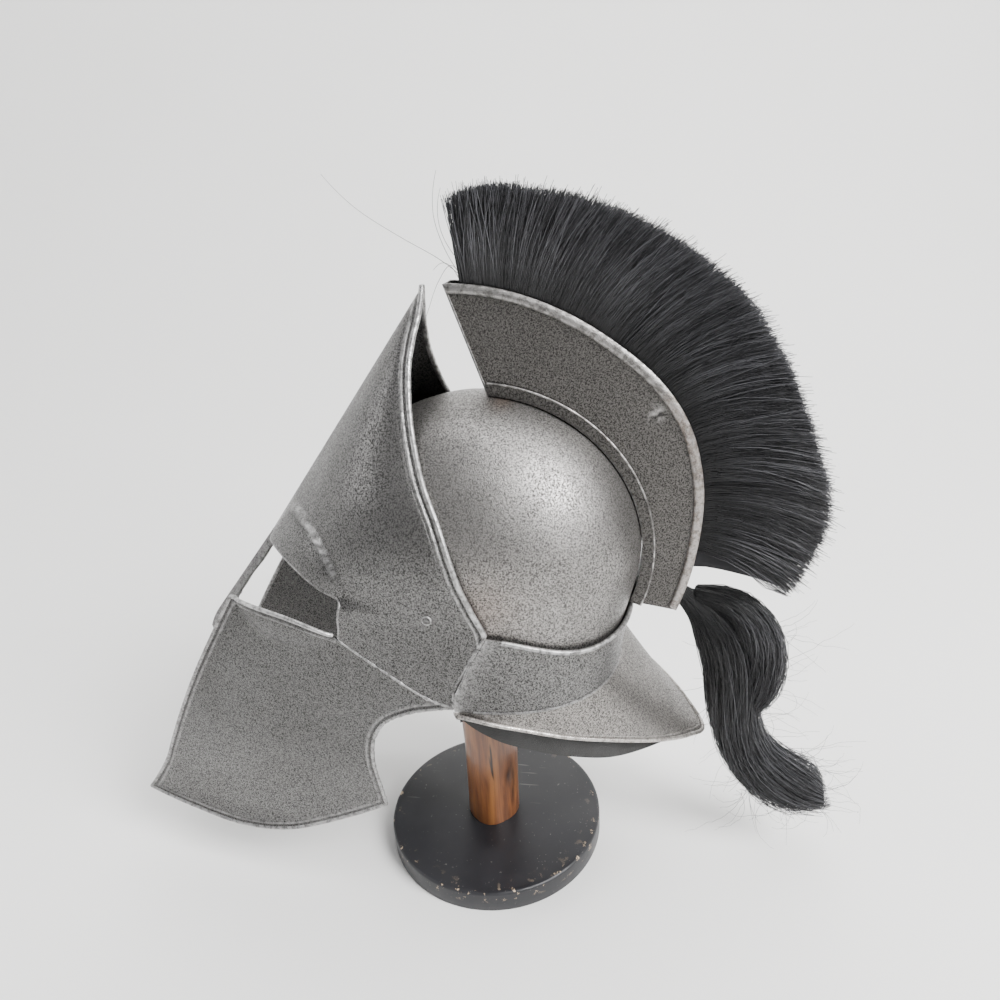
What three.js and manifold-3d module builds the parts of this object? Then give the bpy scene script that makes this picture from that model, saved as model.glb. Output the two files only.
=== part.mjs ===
// Crested steel helmet on a plain turned stand. Millimetres, +Z up, the face looks along -Y.
// The origin is the centre of the stand's underside. The helmet's plane of symmetry is X = 0.
import * as THREE from 'three';
import { mergeVertices } from 'three/addons/utils/BufferGeometryUtils.js';
import Module from 'manifold-3d';

const wasm = await Module();
wasm.setup();

// ---- driving dimensions ----
const WALL = 1.3;                 // sheet steel
const GAP = 0.3;                  // clearance between pieces
const BEAD = 1.7;                 // radius of a rolled edge
const BASE = { radius: 89, height: 18, round: 2.5 };
const POST = { radius: 21.5, top: 379, sides: 14 };
const BOWL = { halfWidth: 88.2, halfLength: 112.5, rise: 110.5, centreY: 10, centreZ: 275, rimZ: 200, taper: 20.5 };
const BAND = { creaseZ: 193, topZ: 249, sideZ: 249, napeZ: 229 };
const CREST = { half: 9, floor: 6, lip: 4.5, proud: 1.4, railHeight: 8.5 };
const RIVET = { y: -11, z: 261, radius: 3.4, height: 1.5 };

// Level sections of the steel skin: half-width and the place of the rear edge at each height.
const SECTION = [
  { z: 457, half: 0.8, rear: -18.5 },
  { z: 440, half: 6.3, rear: -21 },
  { z: 425, half: 16, rear: -24 },
  { z: 410, half: 26, rear: -25.5 },
  { z: 394, half: 35.8, rear: -24.5 },
  { z: 376, half: 47, rear: -21.5 },
  { z: 353, half: 64, rear: -14 },
  { z: 340, half: 74.2, rear: -8 },
  { z: 327, half: 81.6, rear: -1.5 },
  { z: 300, half: 89.9, rear: 7.5 },
  { z: 284, half: 91.8, rear: 12.5 },
  { z: 267, half: 91.8, rear: 19 },
  { z: 248, half: 91.5, rear: 26 },
  { z: 200, half: 91.5, rear: 27 },
  { z: 90, half: 84.3, rear: 27 },
  { z: 30, half: 80.4, rear: 27 },
];
const PEAK_Z = 457;
const KEEL = { y: -18, slope: 0.79, breakZ: 274, lowSlope: 0.866 };
const TURN = { from: 268, to: 252 };              // heights between which plate turns to cheek
const PROW_POWER = 2.7;                            // fullness of the plate's level sections
const CHEEK = { power: 1.754, reach: 355, growth: 1, flareZ: 100, flare: 6 };
const HOOD = { y: -118, z: 268, ry: 47, rz: 43, swell: 8.5, power: 0.6, keelClear: 18 };
const NASAL = { rootZ: 290, tipZ: 192, half: 6.5, depth: 4.8, steps: 8 };

const BOWL_SIDES = 28;

const clamp = (v, lo, hi) => Math.min(Math.max(v, lo), hi);
const smooth = (t) => t * t * (3 - 2 * t);
const mix = (a, b, t) => a + (b - a) * t;
const v3 = (x, y, z) => new THREE.Vector3(x, y, z);

// ---- solids ----

/** Closed solid from a geometry: only the positions are kept and shared points are merged. */
function solid(geometry) {
  const bare = new THREE.BufferGeometry();
  bare.setAttribute('position', geometry.getAttribute('position').clone());
  if (geometry.index) bare.setIndex(geometry.index.clone());
  const merged = mergeVertices(bare, 1e-4);
  return new wasm.Manifold(new wasm.Mesh({
    numProp: 3,
    vertProperties: new Float32Array(merged.getAttribute('position').array),
    triVerts: new Uint32Array(merged.index.array),
  }));
}

/** Geometry of a solid. */
function geometryOf(body) {
  const mesh = body.getMesh();
  const geometry = new THREE.BufferGeometry();
  geometry.setAttribute('position', new THREE.BufferAttribute(new Float32Array(mesh.vertProperties), 3));
  geometry.setIndex(new THREE.BufferAttribute(new Uint32Array(mesh.triVerts), 1));
  geometry.computeVertexNormals();
  return geometry;
}

/** Closed solid from points and triangles, turned so that its faces point out. */
function solidFrom(points, faces) {
  let volume = 0;
  for (const [a, b, c] of faces) volume += points[a].dot(v3(0, 0, 0).crossVectors(points[b], points[c]));
  const geometry = new THREE.BufferGeometry();
  geometry.setAttribute('position', new THREE.BufferAttribute(
    new Float32Array(points.flatMap((p) => [p.x, p.y, p.z])), 3));
  geometry.setIndex((volume < 0 ? faces.map(([a, b, c]) => [a, c, b]) : faces).flat());
  return solid(geometry);
}

/** Solid lofted through closed rings of equal length, capped by a fan at each end. */
function loft(rings) {
  const count = rings[0].length;
  const points = rings.flat();
  const faces = [];
  for (let r = 0; r + 1 < rings.length; r += 1) {
    for (let i = 0; i < count; i += 1) {
      const a = r * count + i;
      const b = r * count + (i + 1) % count;
      faces.push([a, b, b + count], [a, b + count, a + count]);
    }
  }
  for (const [ring, first] of [[rings[0], 0], [rings.at(-1), (rings.length - 1) * count]]) {
    const centre = points.length;
    points.push(ring.reduce((sum, p) => sum.add(p), v3(0, 0, 0)).divideScalar(count));
    for (let i = 0; i < count; i += 1) {
      const a = first + i;
      const b = first + (i + 1) % count;
      faces.push(first === 0 ? [centre, b, a] : [centre, a, b]);
    }
  }
  return solidFrom(points, faces);
}

/** Sheet of even thickness below a grid of points, closed by a rim on all four sides. */
function sheet(top, thickness) {
  const rows = top.length;
  const cols = top[0].length;
  const under = top.map((row, r) => row.map((p, c) => {
    const along = top[r][Math.min(c + 1, cols - 1)].clone().sub(top[r][Math.max(c - 1, 0)]);
    const across = top[Math.min(r + 1, rows - 1)][c].clone().sub(top[Math.max(r - 1, 0)][c]);
    return p.clone().addScaledVector(along.cross(across).normalize(), thickness);
  }));
  const points = [...top.flat(), ...under.flat()];
  const shift = rows * cols;
  const at = (r, c) => r * cols + c;
  const faces = [];
  const quad = (a, b, c, d) => faces.push([a, b, c], [a, c, d]);
  for (let r = 0; r + 1 < rows; r += 1) {
    for (let c = 0; c + 1 < cols; c += 1) {
      quad(at(r, c), at(r, c + 1), at(r + 1, c + 1), at(r + 1, c));
      quad(at(r, c) + shift, at(r + 1, c) + shift, at(r + 1, c + 1) + shift, at(r, c + 1) + shift);
    }
  }
  for (let c = 0; c + 1 < cols; c += 1) {
    quad(at(0, c + 1), at(0, c), at(0, c) + shift, at(0, c + 1) + shift);
    quad(at(rows - 1, c), at(rows - 1, c + 1), at(rows - 1, c + 1) + shift, at(rows - 1, c) + shift);
  }
  for (let r = 0; r + 1 < rows; r += 1) {
    quad(at(r, 0), at(r + 1, 0), at(r + 1, 0) + shift, at(r, 0) + shift);
    quad(at(r + 1, cols - 1), at(r, cols - 1), at(r, cols - 1) + shift, at(r + 1, cols - 1) + shift);
  }
  return solidFrom(points, faces);
}

/** Rod of a given radius along a line of points. */
function rod(points, radius, steps) {
  const shape = new THREE.Shape();
  shape.absarc(0, 0, radius, 0, 2 * Math.PI);
  return solid(new THREE.ExtrudeGeometry(shape, {
    steps,
    curveSegments: 3,
    bevelEnabled: false,
    extrudePath: new THREE.CatmullRomCurve3(points, false, 'centripetal'),
  }));
}

/** Side outline (across = Y, up = Z) pushed through the helmet from X = low to X = high. */
function slab(outline, low, high, curveSegments = 2) {
  const geometry = new THREE.ExtrudeGeometry(outline, { depth: high - low, bevelEnabled: false, curveSegments });
  geometry.applyMatrix4(new THREE.Matrix4().makeBasis(v3(0, 1, 0), v3(0, 0, 1), v3(1, 0, 0)));
  geometry.translate(low, 0, 0);
  return solid(geometry);
}

/** Side outline from stretches: each runs on from the last point, curved if it says so. */
function outline(start, stretches) {
  const shape = new THREE.Shape();
  shape.moveTo(...start);
  for (const { line, curve } of stretches) {
    if (line) line.forEach((p) => shape.lineTo(...p));
    if (curve) shape.splineThru(curve.map((p) => new THREE.Vector2(...p)));
  }
  return shape;
}

/** Point of a level oval round the bowl's middle; power 2 is an ellipse, more is squarer. */
function ovalPoint(angle, half, long, power, z) {
  const [c, n] = [Math.cos(angle), Math.sin(angle)];
  return v3(half * Math.sign(c) * Math.abs(c) ** (2 / power),
    BOWL.centreY + long * Math.sign(n) * Math.abs(n) ** (2 / power), z);
}

/** Closed level oval. */
function ovalRing(count, half, long, power, z) {
  return Array.from({ length: count }, (_, i) => ovalPoint(2 * Math.PI * i / count, half, long, power, z));
}

// ---- the steel skin ----

/** Row of the section table at a height, straight between its rows. */
function sectionAt(z) {
  const k = clamp(SECTION.findIndex((row) => row.z <= z), 1, SECTION.length - 1);
  const [upper, lower] = [SECTION[k - 1], SECTION[k]];
  const t = clamp((upper.z - z) / (upper.z - lower.z), 0, 1);
  return { half: mix(upper.half, lower.half, t), rear: mix(upper.rear, lower.rear, t) };
}

/** Y of the keel line at a height. */
function keelY(z) {
  const high = KEEL.y - KEEL.slope * (PEAK_Z - Math.max(z, KEEL.breakZ));
  return high - KEEL.lowSlope * Math.max(KEEL.breakZ - z, 0);
}

/** Length and fullness of a level section: a keeled prow above, open cheeks below. */
function prowAt(z, rear) {
  const t = smooth(clamp((TURN.from - z) / (TURN.from - TURN.to), 0, 1));
  const cheekLength = CHEEK.reach + CHEEK.growth * (TURN.to - z);
  return {
    length: mix(rear - keelY(z), cheekLength, t),
    power: mix(PROW_POWER, CHEEK.power, t),
  };
}

/** Swell of the hood over an eye, measured out from the plate. */
function hoodAt(x, y, z) {
  const r2 = ((y - HOOD.y) / HOOD.ry) ** 2 + ((z - HOOD.z) / HOOD.rz) ** 2;
  const off = smooth(clamp(Math.abs(x) / HOOD.keelClear, 0, 1));
  return r2 < 1 ? HOOD.swell * off * (1 - r2) ** HOOD.power : 0;
}

/** Point of the left skin at a height; s runs from the keel (0) to the rear edge (1). */
function skinPoint(z, s, inset = 0) {
  const { half, rear } = sectionAt(z);
  const { length, power } = prowAt(z, rear);
  const run = length - 1.6 * inset;
  const wide = Math.max(half - inset, 0.05);
  const y = rear - run * (1 - s);
  const x = wide * (1 - (1 - s) ** power);
  const lean = wide * power * (1 - s) ** (power - 1) / run;
  const out = hoodAt(x, y, z) / Math.hypot(1, lean);
  const flare = CHEEK.flare * clamp((CHEEK.flareZ - z) / 50, 0, 1.2) ** 2;
  return v3(x + out + (s > 0 ? flare : 0), y - out * lean, z);
}

/** X of the left skin at a place in the side view. */
function skinX(y, z) {
  const { half, rear } = sectionAt(z);
  const { length, power } = prowAt(z, rear);
  return skinPoint(z, 1 - clamp((rear - y) / length, 0, 1)).x;
}

/** Point of the left skin over a place in the side view, sunk by a depth. */
const onSkin = (y, z, sink = 0) => v3(skinX(y, z) - sink, y, z);

const SKIN_LEVELS = [30, 50, 68, 85, 105, 140, 180, 215, 252, 260, 268, 275, 284, 292, 299, 304, 308, 313,
  327, 340, 353, 368, 384, 402, 425, 457];
const SKIN_STEPS = 12;

/** Solid block inside the skin; the inner one runs out past the rear edge. */
function skinBlock(inset, beyond, steps) {
  const levels = SKIN_LEVELS.filter((z) => sectionAt(z).half > 2.2 * inset);
  return loft(levels.map((z) => {
    const side = [];
    for (let i = 0; i <= steps; i += 1) side.push(skinPoint(z, (i / steps) ** 1.15, inset));
    if (beyond) side.push(side.at(-1).clone().add(v3(0, beyond, 0)));
    const mirrored = side.slice(1).reverse().map((p) => v3(-p.x, p.y, p.z));
    return [...side, ...mirrored];
  }));
}

const skinShell = skinBlock(0, 0, SKIN_STEPS).subtract(skinBlock(WALL, 4, SKIN_STEPS - 5));

// Side outlines that the plate and the cheeks share.
const WELD = [[-79, 236], [-50, 218], [-16, 197.5], [1, 193.5]];
const BAND_SEAM = [[1.5, 204], [13.5, 229], [25.5, 249.5]];
const BROW = [[-74, 266], [-88, 272], [-100, 276], [-116, 279], [-134, 280], [-162, 277.5]];

/** Steel rod along a line on the left skin. */
function skinBead(places, steps, radius = BEAD) {
  return rod(places.map(([y, z]) => onSkin(y, z, WALL / 2)), radius, steps);
}

/** The same solid on the other side of the plane of symmetry. */
const mirrored = (body) => body.mirror([1, 0, 0]);

// ---- the helmet ----

/** Level ring of the bowl at a share of its height: 1 is the crown, 0 the widest, below 0 the rim. */
function bowlRing(h, inset) {
  const crown = Math.max(h, 0);
  const reach = Math.cos(Math.PI / 2 * crown);
  const narrow = BOWL.taper * Math.max(-h, 0) ** 1.5;
  const z = BOWL.centreZ + (BOWL.rise - inset) * Math.sin(Math.PI / 2 * crown)
    + (BOWL.centreZ - BOWL.rimZ) * Math.min(h, 0);
  return ovalRing(BOWL_SIDES, Math.max((BOWL.halfWidth - inset) * reach, 5),
    Math.max((BOWL.halfLength - inset - narrow) * reach, 6), mix(2.3, 2, crown), z);
}

function makeBowl() {
  const heights = [-1, -0.6, -0.3, 0, 0.18, 0.36, 0.53, 0.69, 0.83, 0.94];
  const outer = loft(heights.map((h) => bowlRing(h, 0)));
  const inner = loft([-1.2, ...heights.slice(1)].map((h) => bowlRing(h, WALL)));
  const face = outline([-130, 180], [{ line: [[-20, 180], [-20, 222]] },
    { curve: [[-45, 262], [-80, 284], [-130, 290]] }, { line: [[-130, 180]] }]);
  return outer.subtract(inner).subtract(slab(face, -120, 120));
}

function makeNasal() {
  const down = v3(0, keelY(NASAL.tipZ) - keelY(NASAL.rootZ), NASAL.tipZ - NASAL.rootZ);
  const inward = v3(0, -down.z, down.y).normalize();
  const rings = [];
  for (let i = 0; i <= NASAL.steps; i += 1) {
    const t = i / NASAL.steps;
    const half = NASAL.half * mix(1, 0.42, t ** 1.5);
    const depth = NASAL.depth * half / NASAL.half;
    const hook = 3 * clamp((t - 0.85) / 0.15, 0, 1) ** 2;
    const apex = v3(0, keelY(NASAL.rootZ), NASAL.rootZ).addScaledVector(down, t)
      .addScaledVector(inward, 0.4 + hook);
    const corner = (x, back) => apex.clone().addScaledVector(inward, back).add(v3(x, 0, 0));
    rings.push([corner(0, 0), corner(half, depth), corner(half - 1.1, depth + 1.1),
      corner(0, 1.9), corner(1.1 - half, depth + 1.1), corner(-half, depth)]);
  }
  return loft(rings);
}

function makeFacePlate() {
  const region = outline([-260, 480], [{ line: [[60, 480], [60, 249.5], BAND_SEAM[2], BAND_SEAM[1], BAND_SEAM[0]] },
    { line: [WELD[3], WELD[2], WELD[1], WELD[0]] }, { line: [[-75, 252], BROW[0]] },
    { curve: BROW.slice(1) }, { line: [[-260, 277.5]] }]);
  const rearEdge = [...SECTION.map((row) => row.z).filter((z) => z >= 267), 251.5]
    .map((z) => skinPoint(z, 1).sub(v3(WALL / 2, 0, 0)));
  rearEdge[0].x = -0.6;
  const bead = rod(rearEdge, BEAD, 18);
  return skinShell.intersect(slab(region, -140, 140)).add(bead).add(mirrored(bead)).add(makeNasal());
}

const CHEEK_EDGE = {
  eye: [[-169, 250], [-139, 251], [-109, 247.5], [-83, 238]],
  front: [[-290, 57], [-267, 89], [-255, 113], [-239, 143], [-217, 181], [-190, 222], [-169, 250]],
  bottom: [[-65, 92], [-107, 67], [-150, 49], [-193, 44], [-242, 49], [-290, 57]],
  neck: [[-9, 191], [-32, 184.5], [-53, 172], [-63, 157], [-68, 134], [-67, 113], [-65, 92]],
};

function makeCheek() {
  const drop = ([y, z]) => [y, z - GAP];
  const region = outline(CHEEK_EDGE.eye[0], [{ curve: CHEEK_EDGE.eye.slice(1, 3) },
    { line: WELD.map(drop) }, { curve: CHEEK_EDGE.neck }, { curve: CHEEK_EDGE.bottom.slice(1) },
    { curve: CHEEK_EDGE.front.slice(1, -1) }, { line: [CHEEK_EDGE.front.at(-1)] }]);
  let cheek = skinShell.intersect(slab(region, 5, 140));
  for (const [name, steps] of [['eye', 4], ['front', 8], ['bottom', 8], ['neck', 9]]) {
    cheek = cheek.add(skinBead(CHEEK_EDGE[name], steps, name === 'neck' ? 1.2 : 1.5));
  }
  return cheek;
}

// Neck band: its outer oval at the lower crease and at the upper edge.
const BAND_OVAL = [
  { z: 193, half: 94.5, long: 98, power: 2.6 },
  { z: 229, half: 92.6, long: 105.8, power: 2.3 },
  { z: 252, half: 92, long: 109, power: 2.3 },
];

/** Point of the neck band: angle 0 at the left side, a half turn at the right. */
function bandPoint(angle, z, out = 0) {
  const low = z < BAND_OVAL[1].z ? 0 : 1;
  const [a, b] = [BAND_OVAL[low], BAND_OVAL[low + 1]];
  const t = (z - a.z) / (b.z - a.z);
  return ovalPoint(angle, mix(a.half, b.half, t) + out, mix(a.long, b.long, t) + out, mix(a.power, b.power, t), z);
}

/** Height of the band's upper edge: it falls towards the nape. */
const bandTop = (y) => mix(BAND.sideZ, BAND.napeZ, smooth(clamp((y - 22) / 80, 0, 1)));

function makeBand() {
  const steps = 24;
  const [start, end] = [-0.12, Math.PI + 0.12];
  const grid = [0, 1].map((r) => Array.from({ length: steps + 1 }, (_, i) => {
    const angle = mix(start, end, i / steps);
    return bandPoint(angle, mix(BAND.creaseZ, bandTop(bandPoint(angle, BAND.topZ).y), r));
  }));
  const lip = Array.from({ length: 17 }, (_, i) => {
    const angle = mix(0.2, Math.PI - 0.2, i / 16);
    return bandPoint(angle, bandTop(bandPoint(angle, BAND.topZ).y) - 1.2, -0.3);
  });
  const seam = BAND_SEAM.map(([y, z]) => [y + GAP, z]);
  const region = outline([seam[0][0], BAND.creaseZ - 1],
    [{ line: [...seam, [seam[2][0], 262], [140, 262], [140, BAND.creaseZ - 1]] }]);
  return sheet(grid, -1.4).add(rod(lip, BEAD, 16)).intersect(slab(region, -120, 120));
}

// Edges below the neck, left half: the flared guard and the leather skirt under it.
const GUARD_EDGE = [
  { x: 96.5, y: 5, z: 191.5 },
  { x: 98, y: 18, z: 190 },
  { x: 97.5, y: 30, z: 187 },
  { x: 93, y: 46, z: 181 },
  { x: 83, y: 75, z: 169 },
  { x: 68, y: 102, z: 156.5 },
  { x: 45, y: 136, z: 140 },
  { x: 22, y: 158, z: 127 },
  { x: 0, y: 170, z: 118 },
];
const SKIRT_EDGE = [
  { x: 86.5, y: 4, z: 180 },
  { x: 88, y: 28, z: 166 },
  { x: 86, y: 50, z: 158 },
  { x: 76, y: 80, z: 146 },
  { x: 60, y: 106, z: 135 },
  { x: 38, y: 130, z: 127 },
  { x: 17, y: 145, z: 120 },
  { x: 0, y: 150, z: 116 },
];

/** Smooth edge through the rows of a table. */
const smoothEdge = (rows) => new THREE.CatmullRomCurve3(rows.map(({ x, y, z }) => v3(x, y, z)), false, 'centripetal');

/** Sheet that spreads from a level oval to a free edge given by its left half. */
function spreadSheet(edge, rootAt, thickness, steps, sag) {
  const left = smoothEdge(edge).getPoints(steps);
  const all = [...left, ...left.slice(0, -1).reverse().map((p) => v3(-p.x, p.y, p.z))];
  const grid = [0, 0.33, 0.67, 1].map((f) => all.map((p, i) => {
    const root = rootAt(i / (all.length - 1));
    return root.lerp(p, f).add(v3(0, 0, -sag * 4 * f * (1 - f)));
  }));
  return sheet(grid, thickness);
}

function makeGuard() {
  const root = (f) => bandPoint(mix(-0.045, Math.PI + 0.045, f), BAND.creaseZ - GAP);
  const bead = rod(GUARD_EDGE.map(({ x, y, z }) => v3(x, y, z - 0.4)), BEAD, 11);
  return spreadSheet(GUARD_EDGE, root, WALL, 13, 3).add(bead).add(mirrored(bead));
}

function makeLiner() {
  const wide = { half: 86.6, long: 90, z: 199.6 };
  const root = (f) => {
    const t = mix(-0.06, Math.PI + 0.06, f);
    return ovalPoint(t, wide.half, wide.long, 2.3, wide.z);
  };
  return spreadSheet(SKIRT_EDGE, root, 2.6, 12, 4);
}

// ---- the crest ----

/** Side-view point at a distance outside the bowl, at an angle from the rear towards the top. */
function aboveBowl(angle, out) {
  return [BOWL.centreY + (BOWL.halfLength + out) * Math.cos(angle),
    BOWL.centreZ + (BOWL.rise + out) * Math.sin(angle)];
}

const CREST_SPAN = { front: 83.4, rear: -22.5, steps: 12 };
const CREST_TOP = [[-2, 458], [35, 453], [73, 438.5], [108, 416], [136, 390], [154, 360], [162.5, 322],
  [162, 290], [156, 254], [147, 226]];

/** Points along the bowl's middle line at a distance above it, from the front to the rear. */
function bowlLine(out, extra = 0) {
  const points = [];
  for (let i = 0; i <= CREST_SPAN.steps; i += 1) {
    const degrees = mix(CREST_SPAN.front + extra, CREST_SPAN.rear - extra, i / CREST_SPAN.steps);
    points.push(aboveBowl(THREE.MathUtils.degToRad(degrees), out));
  }
  return points;
}

/** Crest edge moved inwards, towards the middle of the bowl. */
function crestLine(inset, places = CREST_TOP) {
  return places.map(([y, z]) => {
    const toMiddle = new THREE.Vector2(BOWL.centreY + 30 - y, BOWL.centreZ + 40 - z).normalize();
    return [y + toMiddle.x * inset, z + toMiddle.y * inset];
  });
}

/** Side outline between the bowl's line and a line further out. */
function crestOutline(low, high) {
  const [start, ...rest] = bowlLine(low);
  return outline(start, [{ line: rest }, { line: [high.at(-1)] }, { curve: high.slice(0, -1).reverse() },
    { line: [start] }]);
}

function makeHolder() {
  const box = slab(crestOutline(2.6, crestLine(0)), -CREST.half, CREST.half);
  const inner = CREST.half - WALL;
  const [y0, z0] = CREST_TOP[0];
  const pocketTop = [[y0 - 2.5, z0 + 12], ...crestLine(-12, CREST_TOP.slice(1, -1)), [163, 227.4]];
  const [start, ...rest] = bowlLine(CREST.floor, -0.8);
  const pocket = slab(outline(start, [{ line: rest }, { line: [[163, 227.4]] },
    { curve: pocketTop.slice(0, -1).reverse() }, { line: [start] }]), -inner, inner);
  const lipOutline = outline(CREST_TOP[0], [{ curve: CREST_TOP.slice(1) }, { line: [crestLine(CREST.lip).at(-1)] },
    { curve: crestLine(CREST.lip).slice(0, -1).reverse() }, { line: [CREST_TOP[0]] }]);
  const lip = slab(lipOutline, -CREST.half - CREST.proud, CREST.half + CREST.proud);
  return box.add(lip).subtract(pocket);
}

function makeRail() {
  const outer = CREST.half + GAP + WALL;
  const strip = (low, high, half, extra) => {
    const [start, ...rest] = bowlLine(low, extra);
    return slab(outline(start, [{ line: [...rest, ...bowlLine(high, extra).reverse(), start] }]), -half, half);
  };
  return strip(0.5, 0.5 + CREST.railHeight, outer, 0)
    .subtract(strip(2.25 - GAP, CREST.railHeight + 6, CREST.half + GAP, 4));
}

// Brush: where the hair leaves the box and where it ends, from the front to the lower end.
const BRUSH = [
  { rootY: 10, rootZ: 446, tipY: 6, tipZ: 500 },
  { rootY: 26, rootZ: 443, tipY: 26, tipZ: 517 },
  { rootY: 46, rootZ: 438, tipY: 60, tipZ: 511 },
  { rootY: 74, rootZ: 426, tipY: 100, tipZ: 500 },
  { rootY: 104, rootZ: 406, tipY: 148, tipZ: 474 },
  { rootY: 128, rootZ: 384, tipY: 186, tipZ: 441 },
  { rootY: 144, rootZ: 357, tipY: 213, tipZ: 398 },
  { rootY: 151, rootZ: 327, tipY: 232, tipZ: 352 },
  { rootY: 152, rootZ: 300, tipY: 245, tipZ: 303 },
  { rootY: 149, rootZ: 277, tipY: 236, tipZ: 267 },
  { rootY: 147, rootZ: 257, tipY: 223, tipZ: 241 },
];
const LOCKS = 19;

/** Solid lock along a line: at each station a half-thickness across and a half-width along the crest. */
function lock(stations) {
  return loft(stations.map(({ at, side, across, along }) => {
    const corner = (a, b) => at.clone().add(v3(a * across, 0, 0)).addScaledVector(side, b * along);
    return [corner(0.8, -1), corner(1, 0), corner(0.8, 1), corner(-0.8, 1), corner(-1, 0), corner(-0.8, -1)];
  }));
}

/** Middle line of the brush's hair at a share of the way round (f) and of the hair's length (t). */
function hairPoint(f, t) {
  const place = (key) => new THREE.CatmullRomCurve3(
    BRUSH.map((b) => v3(0, b[`${key}Y`], b[`${key}Z`])), false, 'centripetal').getPoint(clamp(f, 0, 1));
  const droop = 5 * f * 4 * t * (1 - t);
  return place('root').lerp(place('tip'), t).add(v3(0, 0, droop));
}

function makePlume() {
  const across = [[0, 6.6], [0.2, 7], [0.5, 11.5], [0.86, 14], [1, 7.5]];
  let brush = null;
  for (let i = 0; i < LOCKS; i += 1) {
    const f = i / (LOCKS - 1);
    const full = i % 2 ? 1 : 0.86;
    const piece = lock(across.map(([t, half]) => {
      const reach = t * (i % 2 ? 1 : 0.965);
      const spread = hairPoint(f + 0.5 / LOCKS, reach).sub(hairPoint(f - 0.5 / LOCKS, reach));
      const share = t === 1 ? 0.34 : mix(0.7, 0.6, t);
      const along = Math.max(spread.length() * share, t === 1 ? 2.5 : 4);
      return { at: hairPoint(f, reach), side: spread.normalize(), across: half * (t > 0.3 ? full : 1), along };
    }));
    brush = brush ? brush.add(piece) : piece;
  }
  return brush;
}

// Hanging hank: middle line and half-sizes of each lock, from the root down.
const HANK = [
  { y: 148.5, z: 237, x: 0, across: 6.4, along: 5 },
  { y: 162, z: 226, x: 0, across: 8, along: 8 },
  { y: 176, z: 207, x: 0, across: 12, along: 15 },
  { y: 186, z: 180, x: 0, across: 14, along: 17 },
  { y: 190, z: 152, x: 0, across: 14, along: 17 },
  { y: 194, z: 124, x: 0, across: 14, along: 17 },
  { y: 204, z: 98, x: 0, across: 15, along: 19 },
  { y: 222, z: 78, x: 0, across: 16, along: 23 },
  { y: 242, z: 66, x: 0, across: 14, along: 25 },
  { y: 256, z: 62, x: 0, across: 10, along: 21 },
  { y: 266, z: 63, x: 0, across: 5, along: 11 },
];
const LOBE = [
  { y: 160, z: 234, x: 0, across: 6, along: 6 },
  { y: 192, z: 224, x: 0, across: 11, along: 11 },
  { y: 207, z: 202, x: 1, across: 13, along: 14 },
  { y: 212, z: 176, x: 1, across: 13, along: 14 },
  { y: 209, z: 152, x: 1, across: 11, along: 12 },
  { y: 204, z: 134, x: 0, across: 5, along: 5 },
];

/** Lock that follows a table of stations. */
function hangingLock(rows) {
  const middle = rows.map(({ x, y, z }) => v3(x, y, z));
  return lock(rows.map((row, i) => {
    const run = middle[Math.min(i + 1, rows.length - 1)].clone().sub(middle[Math.max(i - 1, 0)]);
    return { at: middle[i], side: v3(0, -run.z, run.y).normalize(), across: row.across, along: row.along };
  }));
}

const makeTail = () => hangingLock(HANK).add(hangingLock(LOBE));

function makeRivet() {
  const x = skinX(RIVET.y, RIVET.z);
  const { radius, height } = RIVET;
  const profile = [[0, 0], [radius, 0], [radius * 0.9, height * 0.6], [radius * 0.5, height], [0, height * 1.1]];
  const geometry = new THREE.LatheGeometry(profile.map((p) => new THREE.Vector2(...p)), 12);
  geometry.rotateZ(-Math.PI / 2);
  geometry.translate(x + GAP, RIVET.y, RIVET.z);
  return solid(geometry);
}

// ---- the stand ----

function makeBase() {
  const { radius, height, round } = BASE;
  const profile = [[0, 0], [radius - 1, 0], [radius, 1], [radius, height - round],
    [radius - round * 0.3, height - round * 0.3], [radius - round, height], [0, height]];
  const geometry = new THREE.LatheGeometry(profile.map((p) => new THREE.Vector2(...p)), 42);
  geometry.rotateX(Math.PI / 2);
  return solid(geometry);
}

function makePost() {
  const rings = [];
  for (const h of [0, 20, 45, 66, 84, 98, 112, 130, 165, 220, 290, 354, 362]) {
    const t = Math.min(h / 362, 1);
    const ring = [];
    for (let i = 0; i < POST.sides; i += 1) {
      const a = 2 * Math.PI * i / POST.sides;
      const knot = 4.5 * Math.exp(-(((h - 104) / 17) ** 2)) * Math.max(0, Math.cos(a + 2.2)) ** 2;
      const grain = 0.7 * Math.cos(3 * a + h / 60) + 0.4 * Math.cos(5 * a - h / 45);
      const radius = POST.radius + grain + knot - 1.2 * t - (h === 362 ? 1.5 : 0);
      ring.push(v3(radius * Math.cos(a) + 2 * Math.sin(h / 70), radius * Math.sin(a) - 1.5 + 3 * Math.sin(h / 115),
        BASE.height + GAP + h * (POST.top - BASE.height - GAP) / 362));
    }
    rings.push(ring);
  }
  return loft(rings);
}

// ---- materials and scene graph ----

const steel = { color: 0x8b8a86, metalness: 0.75, roughness: 0.45 };
const FINISH = {
  steel,
  steelLight: { ...steel, color: 0x9d9b94 },
  steelDark: { ...steel, color: 0x6f6b69 },
  leather: { color: 0x141312, metalness: 0, roughness: 0.7 },
  hair: { color: 0x0d0d10, metalness: 0, roughness: 0.55 },
  paint: { color: 0x1b1b1d, metalness: 0, roughness: 0.5 },
  wood: { color: 0x8a4d24, metalness: 0, roughness: 0.35 },
};

/** Named mesh in one of the finishes. */
function piece(name, body, finish) {
  const mesh = new THREE.Mesh(geometryOf(body), new THREE.MeshStandardMaterial(FINISH[finish]));
  mesh.name = name;
  return mesh;
}

function buildStand() {
  const stand = new THREE.Group();
  stand.add(piece('stand_base', makeBase(), 'paint'), piece('stand_post', makePost(), 'wood'));
  return stand;
}

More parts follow.
